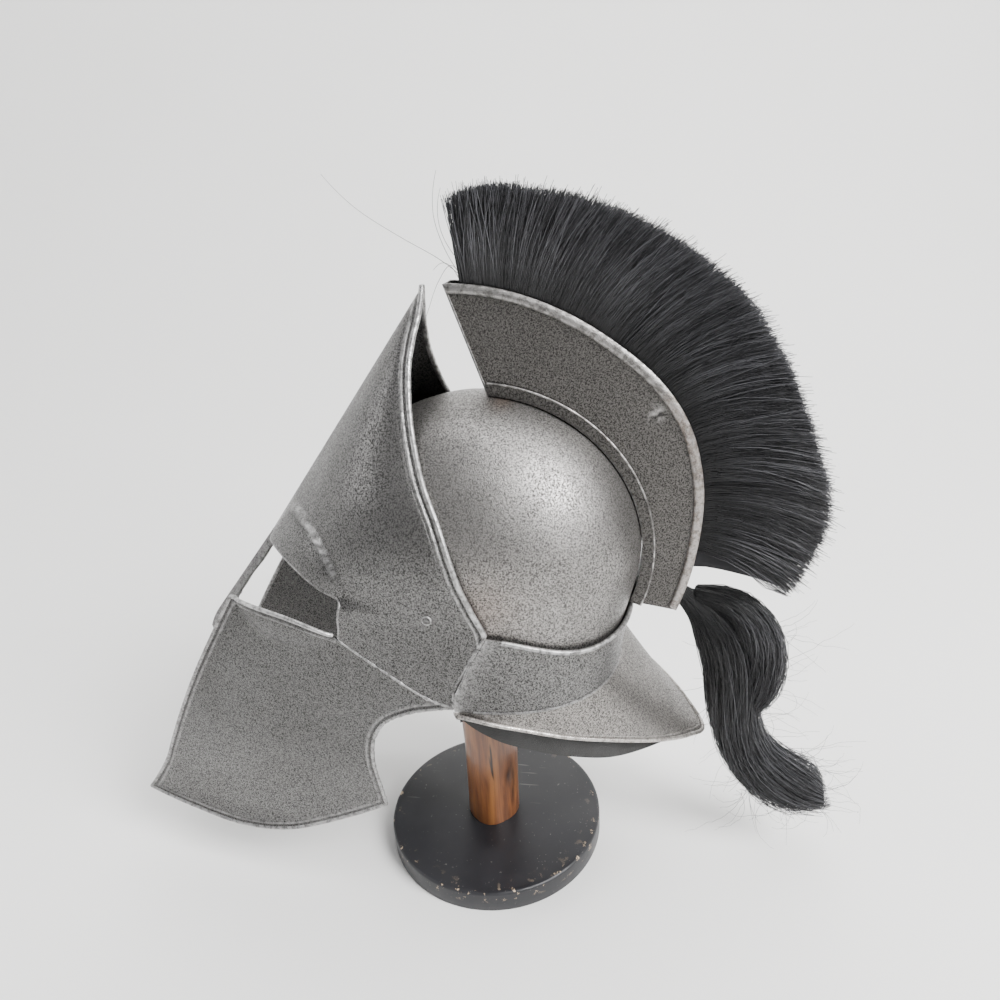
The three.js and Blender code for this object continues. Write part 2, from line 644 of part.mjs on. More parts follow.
function buildCrest() {
  const crest = new THREE.Group();
  crest.add(piece('crest_holder', makeHolder(), 'steelDark'), piece('crest_rail', makeRail(), 'steelDark'));
  crest.add(piece('plume', makePlume(), 'hair'), piece('plume_tail', makeTail(), 'hair'));
  return crest;
}

function buildHelmet() {
  const helmet = new THREE.Group();
  const cheek = makeCheek();
  const rivet = makeRivet();
  helmet.add(piece('bowl', makeBowl(), 'steelLight'), piece('face_plate', makeFacePlate(), 'steel'));
  helmet.add(piece('cheek_left', cheek, 'steelDark'), piece('cheek_right', mirrored(cheek), 'steelDark'));
  helmet.add(piece('neck_band', makeBand(), 'steel'), piece('neck_guard', makeGuard(), 'steelLight'));
  helmet.add(piece('liner', makeLiner(), 'leather'));
  helmet.add(piece('rivet_left', rivet, 'steelLight'), piece('rivet_right', mirrored(rivet), 'steelLight'));
  return helmet;
}

const object = new THREE.Group();
object.add(buildStand(), buildHelmet(), buildCrest());

export default object;
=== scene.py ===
"""Looks of the crested steel helmet on its stand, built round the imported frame.

Tables and sizes are in millimetres, in the frame's axes (+Z up, the face looks along -Y, the wearer's
left is +X). Shell.build scales each finished mesh to metres once, with its object left at the origin.
"""
import math
from dataclasses import dataclass
from enum import Enum

import bpy
import numpy as np
from mathutils import Matrix, Vector


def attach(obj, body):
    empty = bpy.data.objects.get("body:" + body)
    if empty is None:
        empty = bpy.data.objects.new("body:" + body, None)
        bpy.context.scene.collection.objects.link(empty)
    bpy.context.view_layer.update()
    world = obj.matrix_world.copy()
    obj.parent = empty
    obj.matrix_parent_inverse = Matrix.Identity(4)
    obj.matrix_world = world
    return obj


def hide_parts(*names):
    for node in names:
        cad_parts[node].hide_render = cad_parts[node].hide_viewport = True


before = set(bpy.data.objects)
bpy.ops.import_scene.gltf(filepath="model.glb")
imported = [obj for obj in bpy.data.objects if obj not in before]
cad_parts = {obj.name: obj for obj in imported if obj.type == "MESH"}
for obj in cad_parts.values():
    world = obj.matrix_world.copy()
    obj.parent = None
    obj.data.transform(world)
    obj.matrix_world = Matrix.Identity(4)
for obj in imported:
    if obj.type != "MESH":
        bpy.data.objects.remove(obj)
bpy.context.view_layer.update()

MM = 0.001
BODY = "root"
Array = np.ndarray


class Slot(Enum):
    """Material slots of the record."""

    BOWL = "steel_bowl"
    PLATE = "steel_plate"
    GUARD = "steel_guard"
    CREST = "steel_crest"
    LEATHER = "black_leather"
    HAIR = "horsehair"
    PAINT = "stand_paint"
    WOOD = "stand_wood"


class Side(Enum):
    """Wearer's side, as the sign of X."""

    LEFT = 1
    RIGHT = -1


# ---- sizes shared by the steel pieces ----

@dataclass(frozen=True)
class Sheet:
    """Sheet steel and its rolled edges."""

    wall: float = 1.3
    gap: float = 0.3
    bead: float = 1.9


@dataclass(frozen=True)
class BowlSize:
    """Outside of the bowl: half sizes, middle, rim and how the rear draws in below the widest level."""

    half: float = 88.2
    long: float = 112.5
    rise: float = 110.5
    y: float = 10.0
    z: float = 275.0
    rim: float = 200.0
    taper: float = 20.5


STEEL = Sheet()
BOWL = BowlSize()

# Level sections of the steel skin: height, half-width, rear edge.
SECTIONS = np.array([
    (457, 0.8, -18.5), (440, 6.3, -21), (425, 16, -24), (410, 26, -25.5), (394, 35.8, -24.5),
    (376, 47, -21.5), (353, 64, -14), (340, 74.2, -8), (327, 81.6, -1.5), (300, 89.9, 7.5),
    (284, 91.8, 12.5), (267, 91.8, 19), (248, 91.5, 26), (200, 91.5, 27), (90, 84.3, 27), (30, 80.4, 27),
])[::-1]
PEAK_Z = 457.0
KEEL = {"y": -18.0, "slope": 0.79, "break_z": 274.0, "low_slope": 0.866}
TURN = (252.0, 268.0)                       # heights between which plate turns to cheek
PROW_POWER = 2.7
CHEEK_FORM = {"power": 1.754, "reach": 355.0, "growth": 1.0, "flare_z": 100.0, "flare": 6.0}
HOOD = {"y": -118.0, "z": 268.0, "ry": 47.0, "rz": 43.0, "swell": 8.5, "power": 0.62, "keel_clear": 18.0}

# Side-view lines (Y, Z) that neighbouring sheets share.
WELD = [(-79, 236), (-50, 218), (-16, 197.5), (1, 193.5)]
BAND_SEAM = [(1.5, 204), (13.5, 229), (25.5, 249.5)]
BROW = [(-74, 266), (-88, 272.5), (-100, 277), (-116, 281), (-134, 282.5), (-157.8, 280)]


# ---- lines and surfaces ----

def hermite(x: Array, xs: Array, ys: Array) -> Array:
    """Smooth curve through a rising table that never overshoots its rows.

    Args:
        x: where to read it.
        xs: the table's places, rising.
        ys: its values.
    Returns:
        The values at x.
    """
    step = np.diff(xs)
    rise = np.diff(ys) / step
    product = rise[1:] * rise[:-1]
    total = rise[1:] + rise[:-1]
    inner = np.where(product > 0, 2 * product / np.where(total == 0, 1, total), 0)
    slope = np.concatenate([rise[:1], inner, rise[-1:]])
    k = np.clip(np.searchsorted(xs, x) - 1, 0, len(xs) - 2)
    t = np.clip((x - xs[k]) / step[k], 0, 1)
    return ((1 + 2 * t) * (1 - t) ** 2 * ys[k] + t * (1 - t) ** 2 * step[k] * slope[k]
            + t * t * (3 - 2 * t) * ys[k + 1] + t * t * (t - 1) * step[k] * slope[k + 1])


def smooth(t: Array) -> Array:
    """Soft step from 0 to 1."""
    t = np.clip(t, 0, 1)
    return t * t * (3 - 2 * t)


def curve(points: list, count: int = 240) -> Array:
    """Points spread by length along a smooth line through the given ones.

    Args:
        points: at least two points of any dimension.
        count: how many points come out.
    Returns:
        An array of points.
    """
    p = np.asarray(points, float)
    if len(p) > 2:
        chord = np.concatenate([[0], np.cumsum(np.maximum(np.linalg.norm(np.diff(p, axis=0), axis=1), 1e-6) ** 0.5)])
        h = np.diff(chord)[:, None]
        rise = np.diff(p, axis=0) / h
        inner = (rise[:-1] * h[1:] + rise[1:] * h[:-1]) / (h[1:] + h[:-1])
        slope = np.vstack([2 * rise[:1] - inner[:1], inner, 2 * rise[-1:] - inner[-1:]])
        x = np.linspace(0, chord[-1], 24 * len(p))
        k = np.clip(np.searchsorted(chord, x) - 1, 0, len(p) - 2)
        t = ((x - chord[k]) / h[k, 0])[:, None]
        p = ((1 + 2 * t) * (1 - t) ** 2 * p[k] + t * (1 - t) ** 2 * h[k] * slope[k]
             + t * t * (3 - 2 * t) * p[k + 1] + t * t * (t - 1) * h[k] * slope[k + 1])
    return spread(p, np.linspace(0, 1, count))


def spread(points: Array, shares: Array) -> Array:
    """Points at shares of the length of a line of straight stretches."""
    p = np.asarray(points, float)
    run = np.concatenate([[0], np.cumsum(np.linalg.norm(np.diff(p, axis=0), axis=1))])
    return np.stack([np.interp(shares * run[-1], run, p[:, i]) for i in range(p.shape[1])], -1)


def patch(bottom: Array, top: Array, left: Array, right: Array, us: Array, vs: Array) -> Array:
    """Grid of places inside four edges that meet at their ends; left and right run from bottom to top."""
    b, t, l, r = spread(bottom, us), spread(top, us), spread(left, vs), spread(right, vs)
    u, v = us[None, :, None], vs[:, None, None]
    corners = (1 - u) * (1 - v) * b[0] + u * (1 - v) * b[-1] + (1 - u) * v * t[0] + u * v * t[-1]
    return (1 - v) * b[None] + v * t[None] + (1 - u) * l[:, None] + u * r[:, None] - corners


def unit(v: Array) -> Array:
    """Vectors of length 1."""
    return v / np.maximum(np.linalg.norm(v, axis=-1, keepdims=True), 1e-9)


def ripple(points: Array, size: float, seed: int) -> Array:
    """Smooth irregular field, about -1 to 1, with waves of about the given size in mm."""
    rng = np.random.default_rng(seed)
    total = np.zeros(points.shape[:-1])
    for _ in range(7):
        wave = unit(rng.normal(size=3)) * 2 * math.pi / (size * rng.uniform(0.7, 1.5))
        total += np.sin(points @ wave + rng.uniform(0, 6.28))
    return total / 3.0


def grid_normals(grid: Array, wrap: bool = False) -> Array:
    """Normals of a grid of points, rows by columns."""
    along = np.roll(grid, -1, 1) - np.roll(grid, 1, 1) if wrap else np.gradient(grid, axis=1)
    return unit(np.cross(along, np.gradient(grid, axis=0)))


# ---- the steel skin ----

def section_at(z: Array) -> tuple[Array, Array]:
    """Half-width and rear edge of the skin at a height."""
    return hermite(z, SECTIONS[:, 0], SECTIONS[:, 1]), hermite(z, SECTIONS[:, 0], SECTIONS[:, 2])


def keel_y(z: Array) -> Array:
    """Y of the keel line at a height."""
    high = KEEL["y"] - KEEL["slope"] * (PEAK_Z - np.maximum(z, KEEL["break_z"]))
    return high - KEEL["low_slope"] * np.maximum(KEEL["break_z"] - z, 0)


def hood_at(x: Array, y: Array, z: Array) -> Array:
    """Swell of the hood over an eye."""
    r2 = ((y - HOOD["y"]) / HOOD["ry"]) ** 2 + ((z - HOOD["z"]) / HOOD["rz"]) ** 2
    off = smooth(np.abs(x) / HOOD["keel_clear"])
    return HOOD["swell"] * off * np.clip(1 - r2, 0, 1) ** (HOOD["power"] - 0.16 * smooth((z - 262) / 20))


def skin_point(z: Array, s: Array) -> tuple[Array, Array]:
    """X and Y of the left skin at a height; s runs from the keel (0) to the rear edge (1)."""
    half, rear = section_at(z)
    t = smooth((TURN[1] - z) / (TURN[1] - TURN[0]))
    reach = CHEEK_FORM["reach"] + CHEEK_FORM["growth"] * (TURN[0] - z)
    length = (1 - t) * (rear - keel_y(z)) + t * reach
    power = (1 - t) * PROW_POWER + t * CHEEK_FORM["power"]
    left = np.clip(1 - s, 0, 1)
    y = rear - length * left
    x = half * (1 - left ** power)
    lean = half * power * left ** (power - 1) / length
    out = hood_at(x, y, z) / np.hypot(1, lean)
    flare = CHEEK_FORM["flare"] * np.clip((CHEEK_FORM["flare_z"] - z) / 50, 0, 1.2) ** 2
    return x + out + flare, y - out * lean


def skin_x(y: Array, z: Array) -> Array:
    """X of the left skin at a place in the side view."""
    y, z = np.broadcast_arrays(np.asarray(y, float), np.asarray(z, float))
    _, rear = section_at(z)
    low = np.zeros(y.shape)
    high = np.ones(y.shape)
    for _ in range(26):
        middle = (low + high) / 2
        ahead = skin_point(z, middle)[1] < y
        low, high = np.where(ahead, middle, low), np.where(ahead, high, middle)
    return skin_point(z, (low + high) / 2)[0]


def on_skin(places: Array, sink: float = 0.0) -> Array:
    """Points of the left skin over side-view places, sunk by a depth."""
    p = np.asarray(places, float)
    x = skin_x(p[..., 0], p[..., 1])
    points = np.stack([x, p[..., 0], p[..., 1]], -1)
    return points - sink * skin_normals(p) if sink else points


def skin_normals(places: Array, reach: float = 1.2) -> Array:
    """Outward normals of the left skin."""
    y, z = places[..., 0], places[..., 1]
    dy = (skin_x(y + reach, z) - skin_x(y - reach, z)) / (2 * reach)
    dz = (skin_x(y, z + reach) - skin_x(y, z - reach)) / (2 * reach)
    return unit(np.stack([np.ones_like(y), -dy, -dz], -1))


# ---- meshes ----

def grid_faces(rows: int, cols: int, wrap: bool = False) -> Array:
    """Four-sided faces of a grid; wrap joins its last column to the first."""
    r, c = np.meshgrid(np.arange(rows - 1), np.arange(cols if wrap else cols - 1), indexing="ij")
    a, b = r * cols + c, r * cols + (c + 1) % cols
    return np.stack([a, b, b + cols, a + cols], -1).reshape(-1, 4)


def outward(points: Array, faces: list) -> list:
    """The same faces, turned so that they point out of the closed body."""
    p = points - points.mean(0)
    volume = sum(float(np.einsum("ij,ij->i", p[f[:, 0]], np.cross(p[f[:, k]], p[f[:, k + 1]])).sum())
                 for f in faces for k in range(1, f.shape[1] - 1))
    return [f[:, ::-1] for f in faces] if volume < 0 else faces


def sheet(outer: Array, inner: Array, wrap: bool = False, pole: bool = False) -> tuple[Array, list]:
    """Closed sheet between two grids of equal size.

    Args:
        outer: points of the outer side, rows by columns.
        inner: points of the inner side.
        wrap: the last column joins the first.
        pole: the last row closes to a point.
    Returns:
        Points, and lists of faces.
    """
    rows, cols = outer.shape[:2]
    count = rows * cols
    points = np.concatenate([outer.reshape(-1, 3), inner.reshape(-1, 3)])
    quads = [grid_faces(rows, cols, wrap), grid_faces(rows, cols, wrap)[:, ::-1] + count]

    def rim(line: Array, closed: bool) -> Array:
        a = line if closed else line[:-1]
        b = np.roll(line, -1)[:len(a)]
        return np.stack([b, a, a + count, b + count], -1)

    first, last = np.arange(cols), np.arange(cols) + (rows - 1) * cols
    quads.append(rim(first, wrap))
    if pole:
        tips = np.stack([outer[-1].mean(0), inner[-1].mean(0)])
        points = np.concatenate([points, tips])
        a, b = last, np.roll(last, -1)
        fans = [np.stack([a, b, np.full(cols, 2 * count)], -1),
                np.stack([b + count, a + count, np.full(cols, 2 * count + 1)], -1)]
        return points, outward(points, [np.concatenate(quads), np.concatenate(fans)])
    quads.append(rim(last, wrap)[:, ::-1])
    if not wrap:
        column = np.arange(rows) * cols
        quads.append(rim(column, False)[:, ::-1])
        quads.append(rim(column + cols - 1, False))
    return points, outward(points, [np.concatenate(quads)])


def loft(rings: Array) -> tuple[Array, list]:
    """Closed body through rings of equal length, with a fan at each end."""
    rings = np.asarray(rings, float)
    rows, cols = rings.shape[:2]
    points = np.concatenate([rings.reshape(-1, 3), rings[:1].mean(1), rings[-1:].mean(1)])
    a = np.arange(cols)
    b = np.roll(a, -1)
    tail = (rows - 1) * cols
    fans = [np.stack([b, a, np.full(cols, rows * cols)], -1),
            np.stack([a + tail, b + tail, np.full(cols, rows * cols + 1)], -1)]
    return points, outward(points, [grid_faces(rows, cols, True), np.concatenate(fans)])


def frames_along(path: Array, up: Array) -> tuple[Array, Array]:
    """Two directions across a path: one near `up`, one square to it."""
    tangent = unit(np.gradient(path, axis=0))
    upright = np.broadcast_to(np.asarray(up, float), path.shape)
    second = unit(np.cross(tangent, upright))
    return unit(np.cross(second, tangent)), second


def rod(path: Array, radius: float | Array, up: Array = (1.0, 0, 0), sides: int = 12,
        flat: float = 1.0) -> tuple[Array, list]:
    """Closed rod along a path; flat scales it along `up`."""
    first, second = frames_along(path, up)
    angle = np.linspace(0, 2 * math.pi, sides, endpoint=False)[None, :, None]
    size = np.broadcast_to(np.asarray(radius, float), (len(path),))[:, None, None]
    return loft(path[:, None] + size * (flat * np.cos(angle) * first[:, None] + np.sin(angle) * second[:, None]))


def mirrored(points: Array) -> Array:
    """The points on the other side of the helmet."""
    return points * np.array([-1.0, 1, 1])


class Shell:
    """Closed bodies that make one piece, with marks that its material reads.

    The mark "wear" is rubbed bright metal, and along the top of each eye hood a painted highlight; "tone" darkens, as
    painted shade in grooves, under parts and low faces and as real dark marks elsewhere; "tint" warms the colour.
    """

    MARKS = ("wear", "tone", "tint")

    def __init__(self, name: str) -> None:
        self.name = name
        self.points: list[Array] = []
        self.faces: list[Array] = []
        self.marks: dict[str, list[Array]] = {mark: [] for mark in self.MARKS}
        self.count = 0

    def add(self, body: tuple[Array, list], **marks: float | Array) -> "Shell":
        """Adds a closed body; each mark is one value or one for each point."""
        points, faces = body
        self.points.append(points)
        self.faces.extend(f + self.count for f in faces)
        for mark in self.MARKS:
            self.marks[mark].append(np.broadcast_to(np.asarray(marks.get(mark, 0.0), float), (len(points),)))
        self.count += len(points)
        return self

    def both(self, body: tuple[Array, list], **marks: float | Array) -> "Shell":
        """Adds a body of the left side and its twin on the right."""
        points, faces = body
        self.add(body, **marks)
        return self.add((mirrored(points), [f[:, ::-1] for f in faces]), **marks)

    def build(self, slot: Slot, material: bpy.types.Material, nodes: tuple[str, ...] = (),
              sharp: float = 38.0) -> bpy.types.Object:
        """Makes the object, in metres, riding on the frame.

        Args:
            slot: the record's material slot; not used.
            material: its finish.
            nodes: CAD nodes that the piece stands for.
            sharp: angle in degrees above which an edge is hard.
        Returns:
            The object.
        """
        mesh = bpy.data.meshes.new(self.name)
        mesh.from_pydata((np.concatenate(self.points) * MM).tolist(), [],
                         [face for f in self.faces for face in f.tolist()])
        for mark in self.MARKS:
            values = np.clip(np.concatenate(self.marks[mark]), 0, 1).astype(np.float32)
            mesh.attributes.new(mark, "FLOAT", "POINT").data.foreach_set("value", values)
        mesh.shade_smooth()
        mesh.set_sharp_from_angle(angle=math.radians(sharp))
        mesh.materials.append(material)
        piece = bpy.data.objects.new(self.name, mesh)
        bpy.context.scene.collection.objects.link(piece)
        return seat(piece, nodes)


def seat(piece: bpy.types.Object, nodes: tuple[str, ...]) -> bpy.types.Object:
    """Rides a piece on the frame and the CAD nodes it stands for, and logs it."""
    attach(piece, BODY)
    if nodes:
        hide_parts(*nodes)
    print(f"piece {piece.name}: {len(piece.data.polygons)} faces")
    return piece


# ---- node helpers ----

@dataclass
class Wiring:
    """Short ways to add and join nodes in one tree."""

    tree: bpy.types.NodeTree

    def node(self, kind: str, **values: object) -> bpy.types.Node:
        """New node; names that match an input set it, the rest are its properties."""
        made = self.tree.nodes.new(kind)
        for name, value in values.items():
            setattr(made, name, value)
        return made

    def set(self, made: bpy.types.Node, **inputs: object) -> bpy.types.Node:
        """Sets inputs by position (i0, i1 ...) to a value or from another socket."""
        for key, value in inputs.items():
            socket = made.inputs[int(key[1:])]
            if isinstance(value, bpy.types.NodeSocket):
                self.tree.links.new(value, socket)
            else:
                socket.default_value = value
        return made

    def link(self, out: bpy.types.NodeSocket, into: bpy.types.NodeSocket) -> None:
        """Joins two sockets."""
        self.tree.links.new(out, into)

    def maths(self, kind: str, a: object, b: object = 0.0, clamp: bool = False) -> bpy.types.NodeSocket:
        """Result of a Math node."""
        return self.set(self.node("ShaderNodeMath", operation=kind, use_clamp=clamp), i0=a, i1=b).outputs[0]

    def remap(self, value: object, low: float, high: float, to_low: float = 0.0,
              to_high: float = 1.0) -> bpy.types.NodeSocket:
        """Value moved from one range to another, held inside it, with soft ends."""
        made = self.node("ShaderNodeMapRange", interpolation_type="SMOOTHSTEP", clamp=True)
        return self.set(made, i0=value, i1=low, i2=high, i3=to_low, i4=to_high).outputs[0]

    def mix(self, share: object, a: object, b: object, blend: str = "MIX") -> bpy.types.NodeSocket:
        """Mix of two colours."""
        made = self.node("ShaderNodeMix", data_type="RGBA", blend_type=blend)
        return self.set(made, i0=share, i6=a, i7=b).outputs[2]

    def noise(self, where: object, scale: float, detail: float = 2.0, rough: float = 0.5,
              distort: float = 0.0) -> bpy.types.NodeSocket:
        """Value of a noise texture."""
        made = self.set(self.node("ShaderNodeTexNoise"), i0=where, i2=scale, i3=detail, i4=rough)
        made.inputs["Distortion"].default_value = distort
        return made.outputs[0]

    def place(self, scale: tuple = (1, 1, 1), turn: tuple = (0, 0, 0)) -> bpy.types.NodeSocket:
        """Object coordinates, scaled and turned."""
        where = self.node("ShaderNodeTexCoord").outputs["Object"]
        return self.set(self.node("ShaderNodeMapping"), i0=where, i2=turn, i3=scale).outputs[0]

    def mark(self, name: str) -> bpy.types.NodeSocket:
        """A mark stored on the mesh."""
        return self.node("ShaderNodeAttribute", attribute_name=name).outputs["Fac"]


def group(name: str, inputs: dict[str, object], outputs: dict[str, str]) -> tuple[bpy.types.NodeTree, Wiring,
                                                                                 bpy.types.Node, bpy.types.Node]:
    """New shader group with named inputs (name: default) and outputs (name: socket type)."""
    tree = bpy.data.node_groups.new(name, "ShaderNodeTree")
    for key, value in inputs.items():
        kind = "NodeSocketColor" if isinstance(value, tuple) else "NodeSocketFloat"
        tree.interface.new_socket(key, in_out="INPUT", socket_type=kind).default_value = value
    for key, kind in outputs.items():
        tree.interface.new_socket(key, in_out="OUTPUT", socket_type=kind)
    wires = Wiring(tree)
    return tree, wires, tree.nodes.new("NodeGroupInput"), tree.nodes.new("NodeGroupOutput")


def grey(value: float, warm: float = 0.0) -> tuple[float, float, float, float]:
    """Grey, with a little red for blue where warm."""
    return (value * (1 + warm), value, value * (1 - warm), 1.0)


# ---- finishes ----

def hammertone_group() -> bpy.types.NodeTree:
    """Hammered paint on steel: fine dark worms in a light ground, large soft patches, and rubbed edges."""
    colour, number = "NodeSocketColor", "NodeSocketFloat"
    tree, w, given, result = group("hammertone", {
        "Ground": grey(0.4), "Worm": grey(0.05), "Rubbed": grey(0.6), "Grain": 1000.0, "Patch": 0.3,
    }, {"Color": colour, "Roughness": number, "Height": number})
    where = w.place()
    scaled = w.node("ShaderNodeVectorMath", operation="SCALE")
    w.set(scaled, i0=where)
    w.link(given.outputs["Grain"], scaled.inputs["Scale"])
    worms = w.noise(scaled.outputs[0], 1.0, 2.5, 0.55, 0.9)
    fine = w.noise(scaled.outputs[0], 2.3, 2.0, 0.6, 0.3)
    field = w.maths("ADD", w.maths("MULTIPLY", worms, 0.72), w.maths("MULTIPLY", fine, 0.28))
    dark = w.remap(field, 0.43, 0.56, 1.0, 0.0)
    large = w.remap(w.noise(where, 16.0, 3.0, 0.55), 0.35, 0.68)
    ground = w.mix(w.maths("MULTIPLY", large, given.outputs["Patch"]), given.outputs["Ground"], grey(0.13, 0.05))
    warm = w.mix(w.maths("MULTIPLY", w.mark("tint"), 0.8), ground, (0.34, 0.2, 0.12, 1))
    # The tone mark darkens towards near black: in many places this is painted shade (grooves, under parts, low faces),
    # elsewhere real dark marks.
    toned = w.mix(w.maths("MULTIPLY", w.mark("tone"), 0.85), warm, grey(0.018))
    speckled = w.mix(w.maths("MULTIPLY", dark, 0.86), toned, given.outputs["Worm"])
    # The wear mark brightens towards rubbed metal; along the top of each eye hood it is a painted highlight.
    scuff = w.remap(w.noise(where, 240.0, 3.0, 0.6), 0.36, 0.6, 0.25, 1.0)
    rubbed = w.maths("MULTIPLY", w.mark("wear"), scuff, True)
    w.link(w.mix(rubbed, speckled, given.outputs["Rubbed"]), result.inputs["Color"])
    rough = w.maths("ADD", w.remap(dark, 0, 1, 0.33, 0.54), w.maths("MULTIPLY", large, 0.05))
    w.link(w.maths("SUBTRACT", rough, w.maths("MULTIPLY", rubbed, 0.1)), result.inputs["Roughness"])
    w.link(w.maths("MULTIPLY", w.maths("SUBTRACT", 1.0, dark), w.maths("SUBTRACT", 1.0, w.maths(
        "MULTIPLY", rubbed, 0.6))), result.inputs["Height"])
    return tree


@dataclass(frozen=True)
class SteelFinish:
    """One shade of the hammered steel."""

    name: str
    ground: tuple
    worm: tuple
    rubbed: tuple
    patch: float


# The plate's ground, used also for cheeks, nasal, welds, rivets and band, is darker than the bowl's as painted shade:
# the same hammered steel, darkened to stand in for the dark room that these steep faces reflect.
STEEL_FINISHES = {
    Slot.BOWL: SteelFinish("bowl_steel", grey(0.33, 0.04), grey(0.03, 0.03), grey(0.62, 0.02), 0.3),
    Slot.PLATE: SteelFinish("plate_steel", grey(0.19, 0.02), grey(0.013, 0.02), grey(0.58, 0.01), 0.3),
    Slot.GUARD: SteelFinish("guard_steel", grey(0.29, 0.06), grey(0.025, 0.03), grey(0.58, 0.05), 0.3),
    Slot.CREST: SteelFinish("crest_steel", grey(0.11, 0.06), grey(0.010, 0.02), grey(0.5, 0.03), 0.25),
}


def steel_material(finish: SteelFinish, hammer: bpy.types.NodeTree) -> bpy.types.Material:
    """Material of one shade of steel."""
    material = bpy.data.materials.new(finish.name)
    material.use_nodes = True
    w = Wiring(material.node_tree)
    shader = material.node_tree.nodes["Principled BSDF"]
    shader.inputs["Metallic"].default_value = 0.9
    shader.inputs["Coat Weight"].default_value = 0.12
    shader.inputs["Coat Roughness"].default_value = 0.35
    face = w.node("ShaderNodeGroup", node_tree=hammer)
    for name, value in (("Ground", finish.ground), ("Worm", finish.worm), ("Rubbed", finish.rubbed),
                        ("Patch", finish.patch)):
        face.inputs[name].default_value = value
    w.link(face.outputs["Color"], shader.inputs["Base Color"])
    w.link(face.outputs["Roughness"], shader.inputs["Roughness"])
    bump = w.node("ShaderNodeBump")
    bump.inputs["Strength"].default_value = 0.3
    bump.inputs["Distance"].default_value = 0.0003
    w.link(face.outputs["Height"], bump.inputs["Height"])
    w.link(bump.outputs[0], shader.inputs["Normal"])
    return material


def plain_shader(name: str, **constants: object) -> tuple[bpy.types.Material, Wiring, bpy.types.Node]:
    """New material, its wiring and its shader, with constants set on the shader's own sockets."""
    material = bpy.data.materials.new(name)
    material.use_nodes = True
    shader = material.node_tree.nodes["Principled BSDF"]
    for key, value in constants.items():
        shader.inputs[key.replace("_", " ").title()].default_value = value
    return material, Wiring(material.node_tree), shader


def bumped(w: Wiring, shader: bpy.types.Node, height: bpy.types.NodeSocket, strength: float, depth: float) -> None:
    """Joins a height to the shader's normal."""
    bump = w.node("ShaderNodeBump")
    bump.inputs["Strength"].default_value = strength
    bump.inputs["Distance"].default_value = depth
    w.link(height, bump.inputs["Height"])
    w.link(bump.outputs[0], shader.inputs["Normal"])


def hair_material() -> bpy.types.Material:
    """Black horsehair with painted light: near black at the root and lighter bluish grey towards the tip as if lit from
    above, each hair a little different, with a cool gloss.
    """
    material, w, shader = plain_shader("black_horsehair", anisotropic=0.6)
    # Painted light: each hair goes from near black at the root to a lighter bluish grey near the tip, standing in for
    # light from above on the outer ends.
    light = w.maths("MULTIPLY", w.remap(w.mark("along"), 0.1, 0.6), w.remap(w.mark("shade"), 0.35, 1.0, 0.1, 1.0))
    colour = w.mix(light, (0.0015, 0.0015, 0.002, 1), (0.088, 0.088, 0.096, 1))
    w.link(colour, shader.inputs["Base Color"])
    w.link(w.remap(w.mark("shade"), 0.0, 1.0, 0.5, 0.34), shader.inputs["Roughness"])
    return material


def core_material() -> bpy.types.Material:
    """The dark mass of hair behind the outer strands."""
    material, w, shader = plain_shader("packed_horsehair", roughness=0.8)
    streak = w.noise(w.place((900, 60, 60)), 1.0, 3.0, 0.6)
    w.link(w.mix(streak, (0.001, 0.001, 0.0013, 1), (0.008, 0.008, 0.011, 1)), shader.inputs["Base Color"])
    bumped(w, shader, streak, 0.5, 0.0006)
    return material


def leather_material() -> bpy.types.Material:
    """Matt black leather with a fine pebble grain."""
    material, w, shader = plain_shader("black_leather", roughness=0.62)
    where = w.place()
    cells = w.set(w.node("ShaderNodeTexVoronoi", feature="DISTANCE_TO_EDGE"), i0=where, i2=720.0).outputs[0]
    broad = w.noise(where, 60.0, 3.0, 0.6)
    w.link(w.mix(broad, grey(0.006), grey(0.02, 0.04)), shader.inputs["Base Color"])
    w.link(w.remap(broad, 0.3, 0.7, 0.5, 0.7), shader.inputs["Roughness"])
    bumped(w, shader, w.remap(cells, 0.0, 0.25), 0.4, 0.0004)
    return material


def wood_material() -> bpy.types.Material:
    """Varnished branch wood: long brown grain, dark cracks and a knot."""
    material, w, shader = plain_shader("varnished_branch", coat_weight=0.5, coat_roughness=0.16)
    long = w.place((1, 1, 0.055))
    grain = w.noise(long, 330.0, 5.0, 0.66, 0.7)
    streak = w.noise(w.place((1, 1, 0.13)), 90.0, 3.0, 0.55, 0.5)
    brown = w.mix(w.remap(grain, 0.36, 0.66), (0.12, 0.043, 0.017, 1), (0.235, 0.088, 0.032, 1))
    brown = w.mix(w.remap(streak, 0.45, 0.72, 0.0, 0.6), brown, (0.34, 0.145, 0.045, 1))
    crack = w.remap(w.noise(w.place((1, 1, 0.07)), 150.0, 2.0, 0.5, 0.4), 0.71, 0.76)
    dark = w.maths("MAXIMUM", crack, w.mark("tone"), True)
    w.link(w.mix(dark, brown, (0.02, 0.007, 0.003, 1)), shader.inputs["Base Color"])
    w.link(w.remap(grain, 0.3, 0.7, 0.32, 0.46), shader.inputs["Roughness"])
    bumped(w, shader, w.maths("SUBTRACT", grain, dark), 0.35, 0.0005)
    return material


